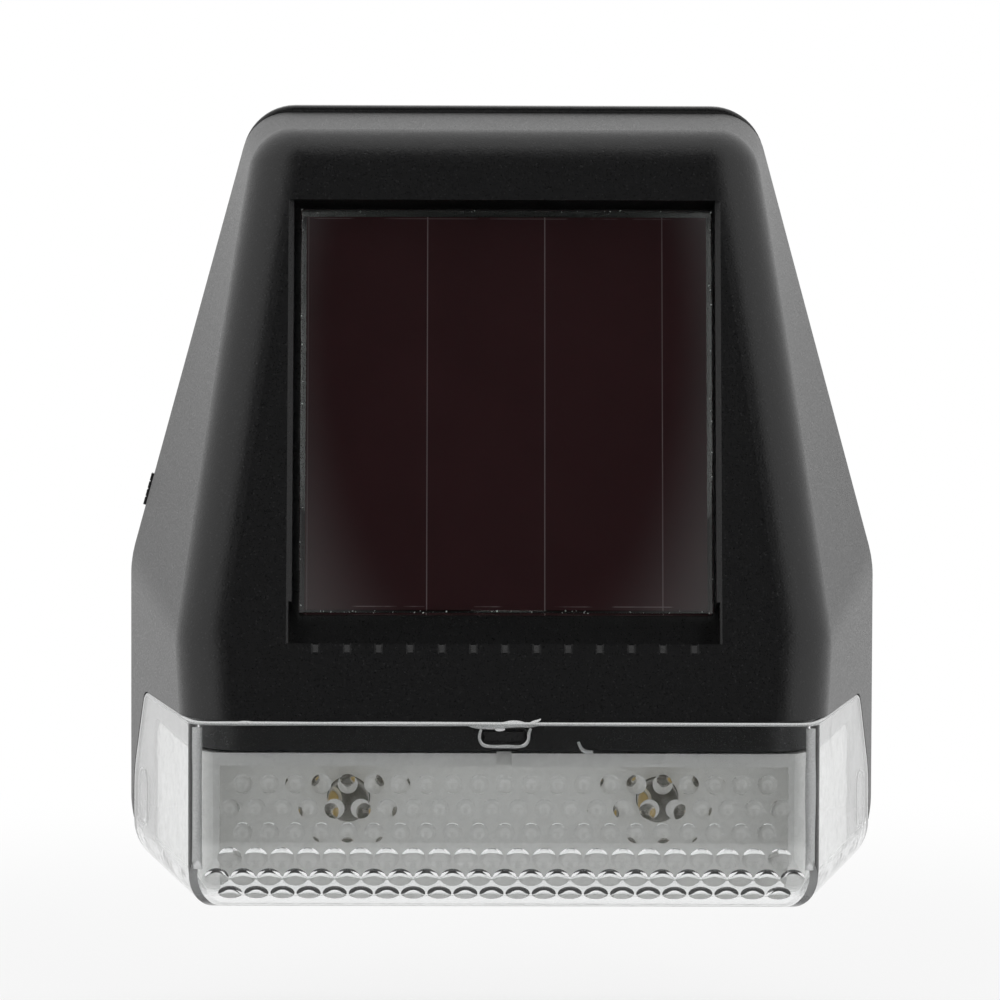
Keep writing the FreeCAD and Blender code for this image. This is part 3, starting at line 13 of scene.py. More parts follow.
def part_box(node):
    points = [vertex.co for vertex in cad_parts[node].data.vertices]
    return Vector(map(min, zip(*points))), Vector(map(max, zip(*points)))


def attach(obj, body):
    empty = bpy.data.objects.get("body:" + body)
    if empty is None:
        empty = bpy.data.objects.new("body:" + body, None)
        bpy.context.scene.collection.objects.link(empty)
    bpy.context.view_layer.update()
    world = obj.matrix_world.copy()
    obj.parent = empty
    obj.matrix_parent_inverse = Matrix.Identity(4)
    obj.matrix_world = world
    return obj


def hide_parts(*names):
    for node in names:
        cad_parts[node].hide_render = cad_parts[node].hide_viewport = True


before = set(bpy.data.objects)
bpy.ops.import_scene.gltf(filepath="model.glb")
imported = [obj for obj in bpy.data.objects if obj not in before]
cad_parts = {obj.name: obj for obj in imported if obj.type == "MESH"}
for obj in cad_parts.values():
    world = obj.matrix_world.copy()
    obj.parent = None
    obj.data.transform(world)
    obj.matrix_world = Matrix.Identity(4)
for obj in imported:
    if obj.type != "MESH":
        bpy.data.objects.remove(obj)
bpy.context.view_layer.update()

bl_info = {
    "name": "Fence light",
    "version": (1, 0, 0),
    "blender": (4, 5, 0),
    "location": "3D view > Sidebar > Fence light",
    "description": "Dresses a solar fence light and sets up its studio",
    "category": "Object",
}

MM = 0.001

# Places that the housing and the lens set
FACE_TILT = math.radians(15.5)
SIDE_DRAFT = 0.245            # how far a low side runs in for each unit forward
UP_FACE = Vector((0, math.sin(FACE_TILT), math.cos(FACE_TILT)))
OUT_OF_FACE = Vector((0, -math.cos(FACE_TILT), math.sin(FACE_TILT)))
LENS_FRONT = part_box("lens")[0].y
LENS_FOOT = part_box("lens")[0].z
LENS_TOP = LENS_FOOT + 23.1 * MM
LENS_WALL = 1.3 * MM


# ---- Colours and nodes ---------------------------------------------------------------------------------
def linear(code):
    """The linear red, green and blue of an sRGB hex code."""
    parts = [int(code[i:i + 2], 16) / 255 for i in (0, 2, 4)]
    return tuple(c / 12.92 if c <= 0.04045 else ((c + 0.055) / 1.055) ** 2.4 for c in parts)


def add_node(tree, kind, settings, inputs):
    """Adds a node with its settings. Each input takes a value or another node's output."""
    node = tree.nodes.new("ShaderNode" + kind)
    for name, value in settings.items():
        setattr(node, name, value)
    for socket, value in inputs.items():
        if isinstance(value, bpy.types.NodeSocket):
            tree.links.new(value, node.inputs[socket])
        else:
            node.inputs[socket].default_value = value
    return node


def new_finish(name, colour, sockets):
    """A material with one Principled shader, its colour and its plain sockets, with its tree and shader."""
    material = bpy.data.materials.new(name)
    material.use_nodes = True
    tree = material.node_tree
    shader = tree.nodes["Principled BSDF"]
    shader.inputs["Base Color"].default_value = (*colour, 1.0)
    material.diffuse_color = (*colour, 1.0)
    for socket, value in sockets.items():
        shader.inputs[socket].default_value = value
    return material, tree, shader


def place_in_object(tree):
    return add_node(tree, "TexCoord", {}, {}).outputs["Object"]


def roughen(tree, shader, grain, depth, low, high):
    """Lays noise of one grain size over a surface: a bump that deep, and a roughness from low to high."""
    noise = add_node(tree, "TexNoise", {}, {"Vector": place_in_object(tree), "Scale": 1 / grain,
                                            "Detail": 3.0, "Roughness": 0.6})
    spread = add_node(tree, "MapRange", {}, {"Value": noise.outputs["Fac"], "From Min": 0.3, "From Max": 0.7,
                                             "To Min": low, "To Max": high})
    tree.links.new(spread.outputs["Result"], shader.inputs["Roughness"])
    bump = add_node(tree, "Bump", {}, {"Strength": 1.0, "Distance": depth, "Height": noise.outputs["Fac"]})
    tree.links.new(bump.outputs["Normal"], shader.inputs["Normal"])
    return noise.outputs["Fac"]


def vary(tree, shader, factor, dark, light):
    """Runs the base colour from dark to light with a factor."""
    mix = add_node(tree, "Mix", {"data_type": "RGBA"}, {0: factor, 6: (*dark, 1.0), 7: (*light, 1.0)})
    tree.links.new(mix.outputs[2], shader.inputs["Base Color"])


def tinted(colour, share):
    """A colour made lighter, or darker where the share is below 1."""
    return tuple(min(1.0, c * share) for c in colour)


# ---- Sizes and colours that a user would change --------------------------------------------------------
def colour_of(name, description, code):
    return FloatVectorProperty(name=name, description=description, subtype="COLOR", size=3, min=0.0, max=1.0,
                               default=linear(code))


def length_of(name, description, millimetres):
    return FloatProperty(name=name, description=description, unit="LENGTH", precision=5, min=0.0,
                         default=millimetres * MM)


def angle_of(name, description, degrees):
    return FloatProperty(name=name, description=description, subtype="ANGLE", default=math.radians(degrees))


class LightColours(bpy.types.PropertyGroup):
    """Colours of the light's materials."""

    housing: colour_of("Housing", "Black ABS of the housing, the rear cover and the switch", "0d0d0e")
    # Painted glints: this colour is laid as lighter flecks on the grain's tips.
    housing_glint_fleck: colour_of("Housing fleck", "Worn tips of the housing's spark-eroded grain", "3e3e3f")
    lens: colour_of("Lens", "Clear plastic of the lens tray", "fdfefe")
    # Also the colour of the painted highlights laid as beads along the lens's open edge, front corners and
    # window outlines.
    flash: colour_of("Flash", "Torn edges and flash, where the clear plastic whitens", "f4f5f5")
    reflector: colour_of("Reflector", "White plastic of the reflector tray", "f4f4f2")
    film: colour_of("Cell film", "The solar film behind the glass", "3f2629")
    cell_line: colour_of("Cell line", "Scribed lines between the film's cells", "8f8183")
    seal: colour_of("Seal", "Rubber between the housing and its cover", "0d0d0d")
    phosphor: colour_of("Phosphor", "Coating on the lamps' chips", "e8c65a")
    board: colour_of("Board", "Solder mask on the circuit board", "1c5a34")
    wire_positive: colour_of("Positive wires", "Insulation of the positive wires", "9d1712")
    wire_negative: colour_of("Negative wires", "Insulation of the negative wires", "161616")


class LightSizes(bpy.types.PropertyGroup):
    """Sizes of surface details and of the pieces that the frame leaves out."""

    grain: length_of("Housing grain", "Size of the housing's spark-eroded grain as drawn", 0.22)
    grain_depth: length_of("Grain depth", "Height of the housing's grain", 0.034)
    glass_bevel: length_of("Glass bevel", "Width of the glass's broken edge", 0.18)
    glass_bond: length_of("Glass bond", "How deep the glass's back sits in the film, with no air between",
                          # The whitened edge is a bead of painted highlight along the lens's open top.
                          0.02)
    rim: length_of("Lens rim", "Radius of the whitened edge round the lens's open top", 0.24)
    chip_size: length_of("Glass chip", "Largest chip along the glass's edge", 0.32)
    chip_count: IntProperty(name="Glass chips", description="Chips along the glass's edges", default=70,
                            min=0)
    flash_scale: FloatProperty(name="Flash", description="Thickness of the lens's moulding flash",
                               default=1.0, min=0.1, subtype="FACTOR")


class StudioSettings(bpy.types.PropertyGroup):
    """The room that the light is shown in."""

    level: FloatProperty(name="Light level", description="Brightness of the room round the light",
                         default=0.95)
    through: FloatProperty(name="Level through plastic",
                           description="Brightness of the room through clear pieces", default=1.35)
    card: FloatProperty(name="Dark card", description="Brightness of the dark card round the camera",
                        default=0.03)
    card_height: angle_of("Card's height", "How far the card's middle stands above the horizon", 28)
    card_stretch: FloatVectorProperty(name="Card's stretch", size=3, default=(1.39, 1.0, 0.6),
                                      description="Narrows the card by its first number, and heightens it "
                                      "by its last")
    gloss_inner: angle_of("Card in gloss", "Angle that the card fills on each side in reflections", 27)
    gloss_outer: angle_of("Card's fade in gloss", "Angle at which it has faded out in reflections", 40)
    card_inner: angle_of("Card", "Angle that the card fills on each side in soft light", 14)
    card_outer: angle_of("Card's fade", "Angle at which it has faded out there", 30)
    floor_drop: length_of("Floor drop", "How far the floor lies below the lens", 15.0)
    floor: colour_of("Floor", "Pale studio floor", "e6e6e6")


# ---- Finishes ------------------------------------------------------------------------------------------
GLINT_FLECK_SPACING = 2.6           # grains from one painted glint fleck to the next


def spark_eroded_abs(colours, sizes):
    """ABS moulded in a spark-eroded tool: a fine even grain that breaks highlights into specks.
    The real grain is about 0.05 mm, too fine to show, so it is drawn at the grain size above.
    Its glints are painted too, as lighter flecks on the grain's tips."""
    material, tree, shader = new_finish("spark_eroded_abs", colours.housing, {"IOR": 1.52})
    roughen(tree, shader, sizes.grain, sizes.grain_depth, low=0.24, high=0.40)
    spots = add_node(tree, "TexVoronoi", {}, {"Vector": place_in_object(tree), "Randomness": 1.0,
                                              "Scale": 1 / (GLINT_FLECK_SPACING * sizes.grain)})
    # Painted glints: the grain's tips are lightened towards the fleck colour.
    tips = add_node(tree, "MapRange", {}, {"Value": spots.outputs["Distance"], "From Min": 0.22,
                                           "From Max": 0.05, "To Min": 0.0, "To Max": 0.55})
    vary(tree, shader, tips.outputs["Result"], colours.housing, colours.housing_glint_fleck)
    return material


def moulded_rubber(colours, sizes):
    """Moulded EPDM gasket: dead matt with a dusty bloom."""
    material, tree, shader = new_finish("moulded_epdm", colours.seal, {"IOR": 1.5})
    bloom = roughen(tree, shader, grain=0.4 * MM, depth=0.01 * MM, low=0.7, high=0.95)
    vary(tree, shader, bloom, colours.seal, tinted(colours.seal, 2.2))
    return material


def polished_polystyrene(colours, sizes):
    """Clear polystyrene from a polished tool: a faint flow waviness some 7 mm long, and a milky look where
    the eye meets it at a slant."""
    material, tree, shader = new_finish("polished_clear_polystyrene", colours.lens, {
        "Transmission Weight": 1.0, "IOR": 1.57, "Roughness": 0.03})
    noise = add_node(tree, "TexNoise", {}, {"Vector": place_in_object(tree), "Scale": 1 / (7 * MM),
                                            "Detail": 2.0})
    bump = add_node(tree, "Bump", {}, {"Strength": 1.0, "Distance": 0.03 * MM,
                                       "Height": noise.outputs["Fac"]})
    tree.links.new(bump.outputs["Normal"], shader.inputs["Normal"])
    slant = add_node(tree, "LayerWeight", {}, {"Blend": 0.5})
    clarity = add_node(tree, "MapRange", {}, {"Value": slant.outputs["Facing"], "From Min": 0.6,
                                              "From Max": 1.0, "To Min": 1.0, "To Max": 0.6})
    tree.links.new(clarity.outputs["Result"], shader.inputs["Transmission Weight"])
    return material


def whitened_flash_and_edge_highlight(colours, sizes):
    """Clear polystyrene torn or squeezed thin: it crazes, scatters light and reads as frosted white.
    The same white, laid along the lens's edges, is painted highlight.
    """
    material, tree, shader = new_finish("stress_whitened_polystyrene", colours.flash, {
        "Transmission Weight": 0.15, "IOR": 1.57})
    roughen(tree, shader, grain=0.12 * MM, depth=0.02 * MM, low=0.12, high=0.4)
    return material


def gloss_white_abs(colours, sizes):
    """White ABS from a polished tool: an even gloss with a soft orange peel about 1.5 mm across."""
    material, tree, shader = new_finish("moulded_white_abs", colours.reflector, {"IOR": 1.52})
    roughen(tree, shader, grain=1.5 * MM, depth=0.012 * MM, low=0.22, high=0.34)
    return material


def zinc_plated_steel(colours, sizes):
    """Zinc-plated screw steel: blue-grey, with rolled and driver-worn streaks."""
    material, tree, shader = new_finish("zinc_plated_steel", linear("b4b6b6"), {"Metallic": 1.0})
    wear = roughen(tree, shader, grain=0.35 * MM, depth=0.006 * MM, low=0.25, high=0.5)
    vary(tree, shader, wear, linear("8f9192"), linear("d0d1cf"))
    return material


def float_glass(colours, sizes):
    """Clear float glass: flat, bright and faintly green at its cut edges."""
    return new_finish("float_glass", linear("f5faf7"), {
        "Transmission Weight": 1.0, "IOR": 1.52, "Roughness": 0.0})[0]


def chipped_glass(colours, sizes):
    """Shelled edges of cut glass: small fractures that flash white."""
    material, tree, shader = new_finish("chipped_glass", linear("e6ecea"), {
        "Transmission Weight": 0.3, "IOR": 1.52})
    roughen(tree, shader, grain=0.1 * MM, depth=0.02 * MM, low=0.1, high=0.5)
    return material


def straight_strip(tree, across, middle, half_width, edge):
    """1 inside a straight strip about a place on one axis, falling to 0 over its edge."""
    offset = add_node(tree, "Math", {"operation": "SUBTRACT"}, {0: across, 1: middle})
    distance = add_node(tree, "Math", {"operation": "ABSOLUTE"}, {0: offset.outputs[0]})
    inside = add_node(tree, "MapRange", {}, {"Value": distance.outputs[0], "From Min": half_width + edge,
                                             "From Max": half_width, "To Min": 0.0, "To Max": 1.0})
    return inside.outputs["Result"]


# Millimetres from the glass's left edge, or up from its foot, and how strongly each line shows.
CELL_SCRIBES = ((1.03, 0.25), (15.45, 0.8), (29.65, 0.9), (43.85, 0.62))
EDGE_SCRIBES = ((1.2, 0.6), (49.0, 0.35))
SCRIBE_HALF_WIDTH = 0.035 * MM
SCRIBE_EDGE = 0.05 * MM


def amorphous_silicon_film(colours, sizes):
    """Amorphous silicon on the glass's back: a deep red-brown, scribed by laser into cells in series."""
    material, tree, shader = new_finish("laser_scribed_silicon_film", colours.film, {
        "Roughness": 0.6, "Specular IOR Level": 0.0})
    place = place_in_object(tree)
    axes = add_node(tree, "SeparateXYZ", {}, {"Vector": place})
    low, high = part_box("solar_glass")
    rise = add_node(tree, "VectorMath", {"operation": "DOT_PRODUCT"}, {0: place, 1: UP_FACE})
    foot = ((low + high) / 2).dot(UP_FACE) - (high.x - low.x) / 2
    wear = add_node(tree, "TexNoise", {}, {"Vector": place, "Scale": 1 / (5 * MM), "Detail": 3.0})
    broken = add_node(tree, "MapRange", {}, {"Value": wear.outputs["Fac"], "From Min": 0.46,
                                             "From Max": 0.54})
    scribes = [(axes.outputs["X"], low.x + x * MM, strength, None) for x, strength in CELL_SCRIBES]
    scribes += [(rise.outputs["Value"], foot + z * MM, strength, broken.outputs["Result"])
                for z, strength in EDGE_SCRIBES]
    lines = None
    for across, middle, strength, mask in scribes:
        line = straight_strip(tree, across, middle, SCRIBE_HALF_WIDTH, SCRIBE_EDGE)
        share = add_node(tree, "Math", {"operation": "MULTIPLY"}, {0: line, 1: strength})
        if mask:
            share = add_node(tree, "Math", {"operation": "MULTIPLY"}, {0: share.outputs[0], 1: mask})
        lines = share if lines is None else add_node(tree, "Math", {"operation": "MAXIMUM"},
                                                     {0: lines.outputs[0], 1: share.outputs[0]})
    cloud = add_node(tree, "TexNoise", {}, {"Vector": place, "Scale": 1 / (9 * MM), "Detail": 4.0})
    body = add_node(tree, "Mix", {"data_type": "RGBA"}, {
        0: cloud.outputs["Fac"], 6: (*tinted(colours.film, 0.85), 1), 7: (*tinted(colours.film, 1.15), 1)})
    mixed = add_node(tree, "Mix", {"data_type": "RGBA"}, {
        0: lines.outputs[0], 6: body.outputs[2], 7: (*colours.cell_line, 1.0)})
    tree.links.new(mixed.outputs[2], shader.inputs["Base Color"])
    return material


def rolled_foil(colours, sizes):
    """Rolled aluminium foil: bright, streaked along one way."""
    material, tree, shader = new_finish("rolled_aluminium_foil", linear("cfd0d1"), {"Metallic": 1.0})
    roughen(tree, shader, grain=0.6 * MM, depth=0.01 * MM, low=0.2, high=0.4)
    return material


def foam_tape(colours, sizes):
    """Black polyethylene foam tape: open cells about 0.3 mm across."""
    material, tree, shader = new_finish("cut_polyethylene_foam", linear("1b1b1c"), {"IOR": 1.5})
    cells = roughen(tree, shader, grain=0.3 * MM, depth=0.08 * MM, low=0.8, high=1.0)
    vary(tree, shader, cells, linear("101011"), linear("2a2a2b"))
    return material


def tin_solder(colours, sizes):
    """Tin solder: smooth and bright, dulled in patches by flux."""
    material, tree, shader = new_finish("reflowed_tin_solder", linear("c6c7c4"), {"Metallic": 1.0})
    roughen(tree, shader, grain=0.5 * MM, depth=0.01 * MM, low=0.12, high=0.38)
    return material


def masked_laminate(colours, sizes):
    """Glass-epoxy laminate under green solder mask: its weave shows as a faint 0.4 mm check."""
    material, tree, shader = new_finish("solder_masked_laminate", colours.board, {"IOR": 1.55})
    place = place_in_object(tree)
    weave = add_node(tree, "TexChecker", {}, {"Vector": place, "Scale": 1 / (0.4 * MM)})
    vary(tree, shader, weave.outputs["Fac"], tinted(colours.board, 0.88), tinted(colours.board, 1.1))
    shader.inputs["Roughness"].default_value = 0.28
    return material


def lamp_epoxy(colours, sizes):
    """Cast clear epoxy: a little warm and milky."""
    return new_finish("cast_clear_epoxy", linear("fbf4e2"), {
        "Transmission Weight": 0.85, "IOR": 1.53, "Roughness": 0.06})[0]


def lamp_phosphor(colours, sizes):
    """Yellow phosphor in silicone over the lamp's chip: matt, with a fine sparkle."""
    material, tree, shader = new_finish("dispensed_phosphor", colours.phosphor, {"IOR": 1.45})
    roughen(tree, shader, grain=0.08 * MM, depth=0.01 * MM, low=0.4, high=0.7)
    return material


def tinned_steel(colours, sizes):
    """Tin-plated lead steel: soft white metal with stamping marks."""
    material, tree, shader = new_finish("tinned_lead_steel", linear("c4c3bf"), {"Metallic": 1.0})
    roughen(tree, shader, grain=0.25 * MM, depth=0.005 * MM, low=0.25, high=0.45)
    return material


def chip_epoxy(colours, sizes):
    """Silica-filled moulding compound: dark grey, dry and gritty."""
    material, tree, shader = new_finish("filled_epoxy_compound", linear("1d1d1f"), {"IOR": 1.55})
    roughen(tree, shader, grain=0.12 * MM, depth=0.01 * MM, low=0.55, high=0.8)
    return material


def coil_coat(colours, sizes):
    """Dipped green epoxy on the choke: thick, glossy and a little lumpy."""
    material, tree, shader = new_finish("dipped_green_epoxy", linear("2f6a44"), {
        "IOR": 1.55, "Coat Weight": 0.5})
    roughen(tree, shader, grain=1.2 * MM, depth=0.05 * MM, low=0.25, high=0.4)
    return material


def disc_ceramic(colours, sizes):
    """Brown phenolic dip over the ceramic disc: waxy, with pinholes."""
    material, tree, shader = new_finish("phenolic_dipped_ceramic", linear("b4692c"), {"IOR": 1.5})
    roughen(tree, shader, grain=0.5 * MM, depth=0.02 * MM, low=0.4, high=0.6)
    return material


def nickel_can(colours, sizes):
    """Nickel-plated drawn steel can: bright, with draw lines."""
    material, tree, shader = new_finish("nickel_plated_can", linear("c7c5c0"), {"Metallic": 1.0})
    roughen(tree, shader, grain=0.8 * MM, depth=0.006 * MM, low=0.15, high=0.32)
    return material


def shrink_film(colours, sizes):
    """Green heat-shrunk film on the cell: tight, glossy and faintly wrinkled."""
    material, tree, shader = new_finish("heat_shrunk_film", linear("2f7a52"), {
        "IOR": 1.5, "Coat Weight": 0.3})
    roughen(tree, shader, grain=2.4 * MM, depth=0.03 * MM, low=0.2, high=0.35)
    return material


def spring_steel(colours, sizes):
    """Nickel-plated spring steel strip: brushed and bright."""
    material, tree, shader = new_finish("nickel_plated_spring_steel", linear("c2bfb8"), {"Metallic": 1.0})
    roughen(tree, shader, grain=0.3 * MM, depth=0.006 * MM, low=0.22, high=0.4)
    return material


def wire_insulation(name, colour):
    """Extruded PVC insulation: satin, with faint die lines."""
    material, tree, shader = new_finish(name, colour, {"IOR": 1.53})
    roughen(tree, shader, grain=0.5 * MM, depth=0.01 * MM, low=0.32, high=0.48)
    return material


def red_insulation(colours, sizes):
    """Red PVC of the positive wires."""
    return wire_insulation("extruded_red_pvc", colours.wire_positive)


def black_insulation(colours, sizes):
    """Black PVC of the negative wires."""
    return wire_insulation("extruded_black_pvc", colours.wire_negative)


SLOT_FINISHES = {
    "black_plastic": spark_eroded_abs,
    "seal_rubber": moulded_rubber,
    "clear_plastic": polished_polystyrene,
    "white_plastic": gloss_white_abs,
    "zinc_steel": zinc_plated_steel,
    "panel_glass": float_glass,
    "cell_film": amorphous_silicon_film,
    "foil": rolled_foil,
    "foam_tape": foam_tape,
    "solder": tin_solder,
    "board_laminate": masked_laminate,
    "epoxy_clear": lamp_epoxy,
    "tinned_steel": tinned_steel,
    "chip_epoxy": chip_epoxy,
    "coil_coat": coil_coat,
    "ceramic_brown": disc_ceramic,
    "nickel_can": nickel_can,
    "sleeve_film": shrink_film,
    "spring_steel": spring_steel,
    "red_insulation": red_insulation,
    "black_insulation": black_insulation,
}


# ---- Modelling helpers ---------------------------------------------------------------------------------
def deselect_all():
    if bpy.context.mode != "OBJECT":
        bpy.ops.object.mode_set(mode="OBJECT")
    bpy.ops.object.select_all(action="DESELECT")


def make_active(piece):
    deselect_all()
    piece.select_set(True)
    bpy.context.view_layer.objects.active = piece


def hand_over(piece, name, material, body, replaced=()):
    """Puts a finished piece's place into its mesh, names it, finishes it and hangs it on its body."""
    make_active(piece)
    bpy.ops.object.transform_apply(location=True, rotation=True, scale=True)
    piece.name = name
    piece.data.name = name
    piece.data.materials.clear()
    piece.data.materials.append(material)
    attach(piece, body)
    if replaced:
        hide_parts(*replaced)
    deselect_all()
    return piece


def finish_named(name):
    """The finish made for a slot by the first operator."""
    return bpy.data.materials[name]


BEAD_STEPS = 6                # along each stretch of a bead
WELD_GAP = 0.002 * MM


def bead(points, thickness, roundness=3):
    """An irregular string of plastic along points of X, Y, Z and a share of its thickness, as a closed
    mesh."""
    deselect_all()
    bpy.ops.curve.primitive_nurbs_path_add()
    path = bpy.context.object
    curve = path.data
    curve.splines.clear()
    spline = curve.splines.new("NURBS")
    spline.points.add(len(points) - 1)
    for control, (x, y, z, share) in zip(spline.points, points):
        control.co = (x, y, z, 1.0)
        control.radius = share
    spline.order_u = 3
    spline.use_endpoint_u = True
    spline.resolution_u = BEAD_STEPS
    curve.bevel_depth = thickness
    curve.bevel_resolution = roundness
    curve.use_fill_caps = True
    bpy.ops.object.convert(target="MESH")
    piece = bpy.context.object
    bpy.ops.object.mode_set(mode="EDIT")
    bpy.ops.mesh.select_all(action="SELECT")
    bpy.ops.mesh.remove_doubles(threshold=WELD_GAP)
    bpy.ops.mesh.normals_make_consistent(inside=False)
    bpy.ops.object.mode_set(mode="OBJECT")
    bpy.ops.object.shade_smooth()
    return piece


# ---- Operators -----------------------------------------------------------------------------------------
class FENCE_OT_finish_frame(bpy.types.Operator):
    """Give every moulded, pressed and bought piece its finish"""

    bl_idname = "fence_light.finish_frame"
    bl_label = "Finish the frame"

    def execute(self, context):
        colours, sizes = context.scene.fence_colours, context.scene.fence_sizes
        finishes = {slot: make(colours, sizes) for slot, make in SLOT_FINISHES.items()}
        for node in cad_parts.values():
            slot = node.material_slots[0].material.name
            node.material_slots[0].material = finishes[slot]
        return {"FINISHED"}


class FENCE_OT_glass_pane(bpy.types.Operator):
    """Make the solar panel's glass with its broken edges, bonded to the film"""

    bl_idname = "fence_light.glass_pane"
    bl_label = "Panel glass"

    def execute(self, context):
        sizes = context.scene.fence_sizes
        low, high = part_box("solar_glass")
        side = high.x - low.x
        thickness = ((high.y - low.y) - side * math.sin(FACE_TILT)) / math.cos(FACE_TILT)
        deselect_all()
        middle = (low + high) / 2 - OUT_OF_FACE * sizes.glass_bond / 2
        bpy.ops.mesh.primitive_cube_add(size=1, location=middle, rotation=(math.pi / 2 - FACE_TILT, 0, 0),
                                        scale=(side, side, thickness + sizes.glass_bond))
        pane = bpy.context.object
        bpy.ops.object.transform_apply(location=False, rotation=False, scale=True)
        bpy.ops.object.mode_set(mode="EDIT")
        bpy.ops.mesh.select_all(action="SELECT")
        bpy.ops.mesh.bevel(offset=sizes.glass_bevel, segments=2, affect="EDGES")
        bpy.ops.object.mode_set(mode="OBJECT")
        bpy.ops.object.shade_smooth_by_angle(angle=math.radians(30))
        hand_over(pane, "panel_glass_pane", finish_named("float_glass"), "housing",
                  ["solar_glass"])
        return {"FINISHED"}


class FENCE_OT_glass_chips(bpy.types.Operator):
    """Shell small chips along the front edges of the panel's glass"""

    bl_idname = "fence_light.glass_chips"
    bl_label = "Glass chips"

    SEED = 7
    RISE = 1.0 * MM               # half the glass's thickness
    BEVEL_SHARE = 0.4             # of the broken edge's width, that the chips lie below the glass's front
    SIDES = (0, 0, 1, 2, 3)       # foot, head, right and left. The foot is chipped twice as much.
    # Least and most: millimetres in from the edge, then shares of the largest chip and of its length.
    EDGE_BAND = (0.05, 0.4)
    RADII = (0.2, 0.5)
    WIDTHS = (0.3, 0.8)
    HEIGHTS = (0.3, 0.6)

    def execute(self, context):
        sizes = context.scene.fence_sizes
        colours = context.scene.fence_colours
        low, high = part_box("solar_glass")
        half = (high.x - low.x) / 2
        across = Vector((1, 0, 0))
        middle = (low + high) / 2 + OUT_OF_FACE * (self.RISE - sizes.glass_bevel * self.BEVEL_SHARE)
        draw = random.Random(self.SEED)
        deselect_all()
        chips = []
        for _ in range(sizes.chip_count):
            along = draw.uniform(-half, half)
            side = draw.choice(self.SIDES)
            edge = half - draw.uniform(*self.EDGE_BAND) * MM
            place = (across * along - UP_FACE * edge, across * along + UP_FACE * edge,
                     across * edge + UP_FACE * along, -across * edge + UP_FACE * along)[side]
            radius = sizes.chip_size * draw.uniform(*self.RADII)
            bpy.ops.mesh.primitive_ico_sphere_add(subdivisions=1, radius=radius, location=middle + place)
            chip = bpy.context.object
            chip.rotation_euler = [draw.uniform(0, math.pi) for _ in range(3)]
            chip.scale = (1.0, draw.uniform(*self.WIDTHS), draw.uniform(*self.HEIGHTS))
            chips.append(chip)
        for chip in chips:
            chip.select_set(True)
        bpy.context.view_layer.objects.active = chips[0]
        bpy.ops.object.join()
        piece = bpy.context.object
        hand_over(piece, "glass_edge_chips", chipped_glass(colours, sizes), "housing")
        return {"FINISHED"}


class FENCE_OT_lamps(bpy.types.Operator):
    """Cast the two lamps: a flanged barrel with a domed end"""

    bl_idname = "fence_light.lamps"
    bl_label = "Lamps"

    flange: FloatProperty(name="Flange", description="Radius of the flange", default=2.9 * MM, unit="LENGTH")
    barrel: FloatProperty(name="Barrel", description="Radius of the barrel", default=2.5 * MM, unit="LENGTH")
    flange_depth: FloatProperty(name="Flange depth", description="Thickness of the flange", default=1.0 * MM,
                                unit="LENGTH")

    # The dome is drawn in steps, and stops a share of one short of its tip, so that its end keeps a face.
    DOME_STEPS = 9
    DOME_END = 0.35

    def execute(self, context):
        for node, name in (("led_left", "lamp_left"), ("led_right", "lamp_right")):
            hand_over(self.cast(node), name, finish_named("cast_clear_epoxy"), "housing",
                      [node])
        return {"FINISHED"}

    def cast(self, node):
        low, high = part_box(node)
        middle = (low + high) / 2
        rear, tip = high.y, low.y
        dome_start = tip + self.barrel
        deselect_all()
        bpy.ops.mesh.primitive_circle_add(vertices=48, radius=self.flange, fill_type="NGON",
                                          location=(middle.x, rear, middle.z), rotation=(math.pi / 2, 0, 0))
        lamp = bpy.context.object
        bpy.ops.object.mode_set(mode="EDIT")
        bpy.ops.mesh.select_all(action="SELECT")
        self.push(-self.flange_depth, 1.0)
        self.push(0.0, self.barrel / self.flange)
        self.push(dome_start - rear + self.flange_depth, 1.0)
        for i in range(1, self.DOME_STEPS + 1):
            before, after = (math.radians(90) * k / (self.DOME_STEPS + self.DOME_END) for k in (i - 1, i))
            advance = self.barrel * (math.sin(after) - math.sin(before))
            self.push(-advance, math.cos(after) / math.cos(before))
        bpy.ops.mesh.select_all(action="SELECT")
        bpy.ops.mesh.normals_make_consistent(inside=False)
        bpy.ops.object.mode_set(mode="OBJECT")
        bpy.ops.object.shade_smooth_by_angle(angle=math.radians(35))
        return lamp

    def push(self, forward, grow):
        """Extrudes the selected end along Y and scales it."""
        bpy.ops.mesh.extrude_region_move(TRANSFORM_OT_translate={"value": (0, forward, 0)})
        bpy.ops.transform.resize(value=(grow, 1, grow))


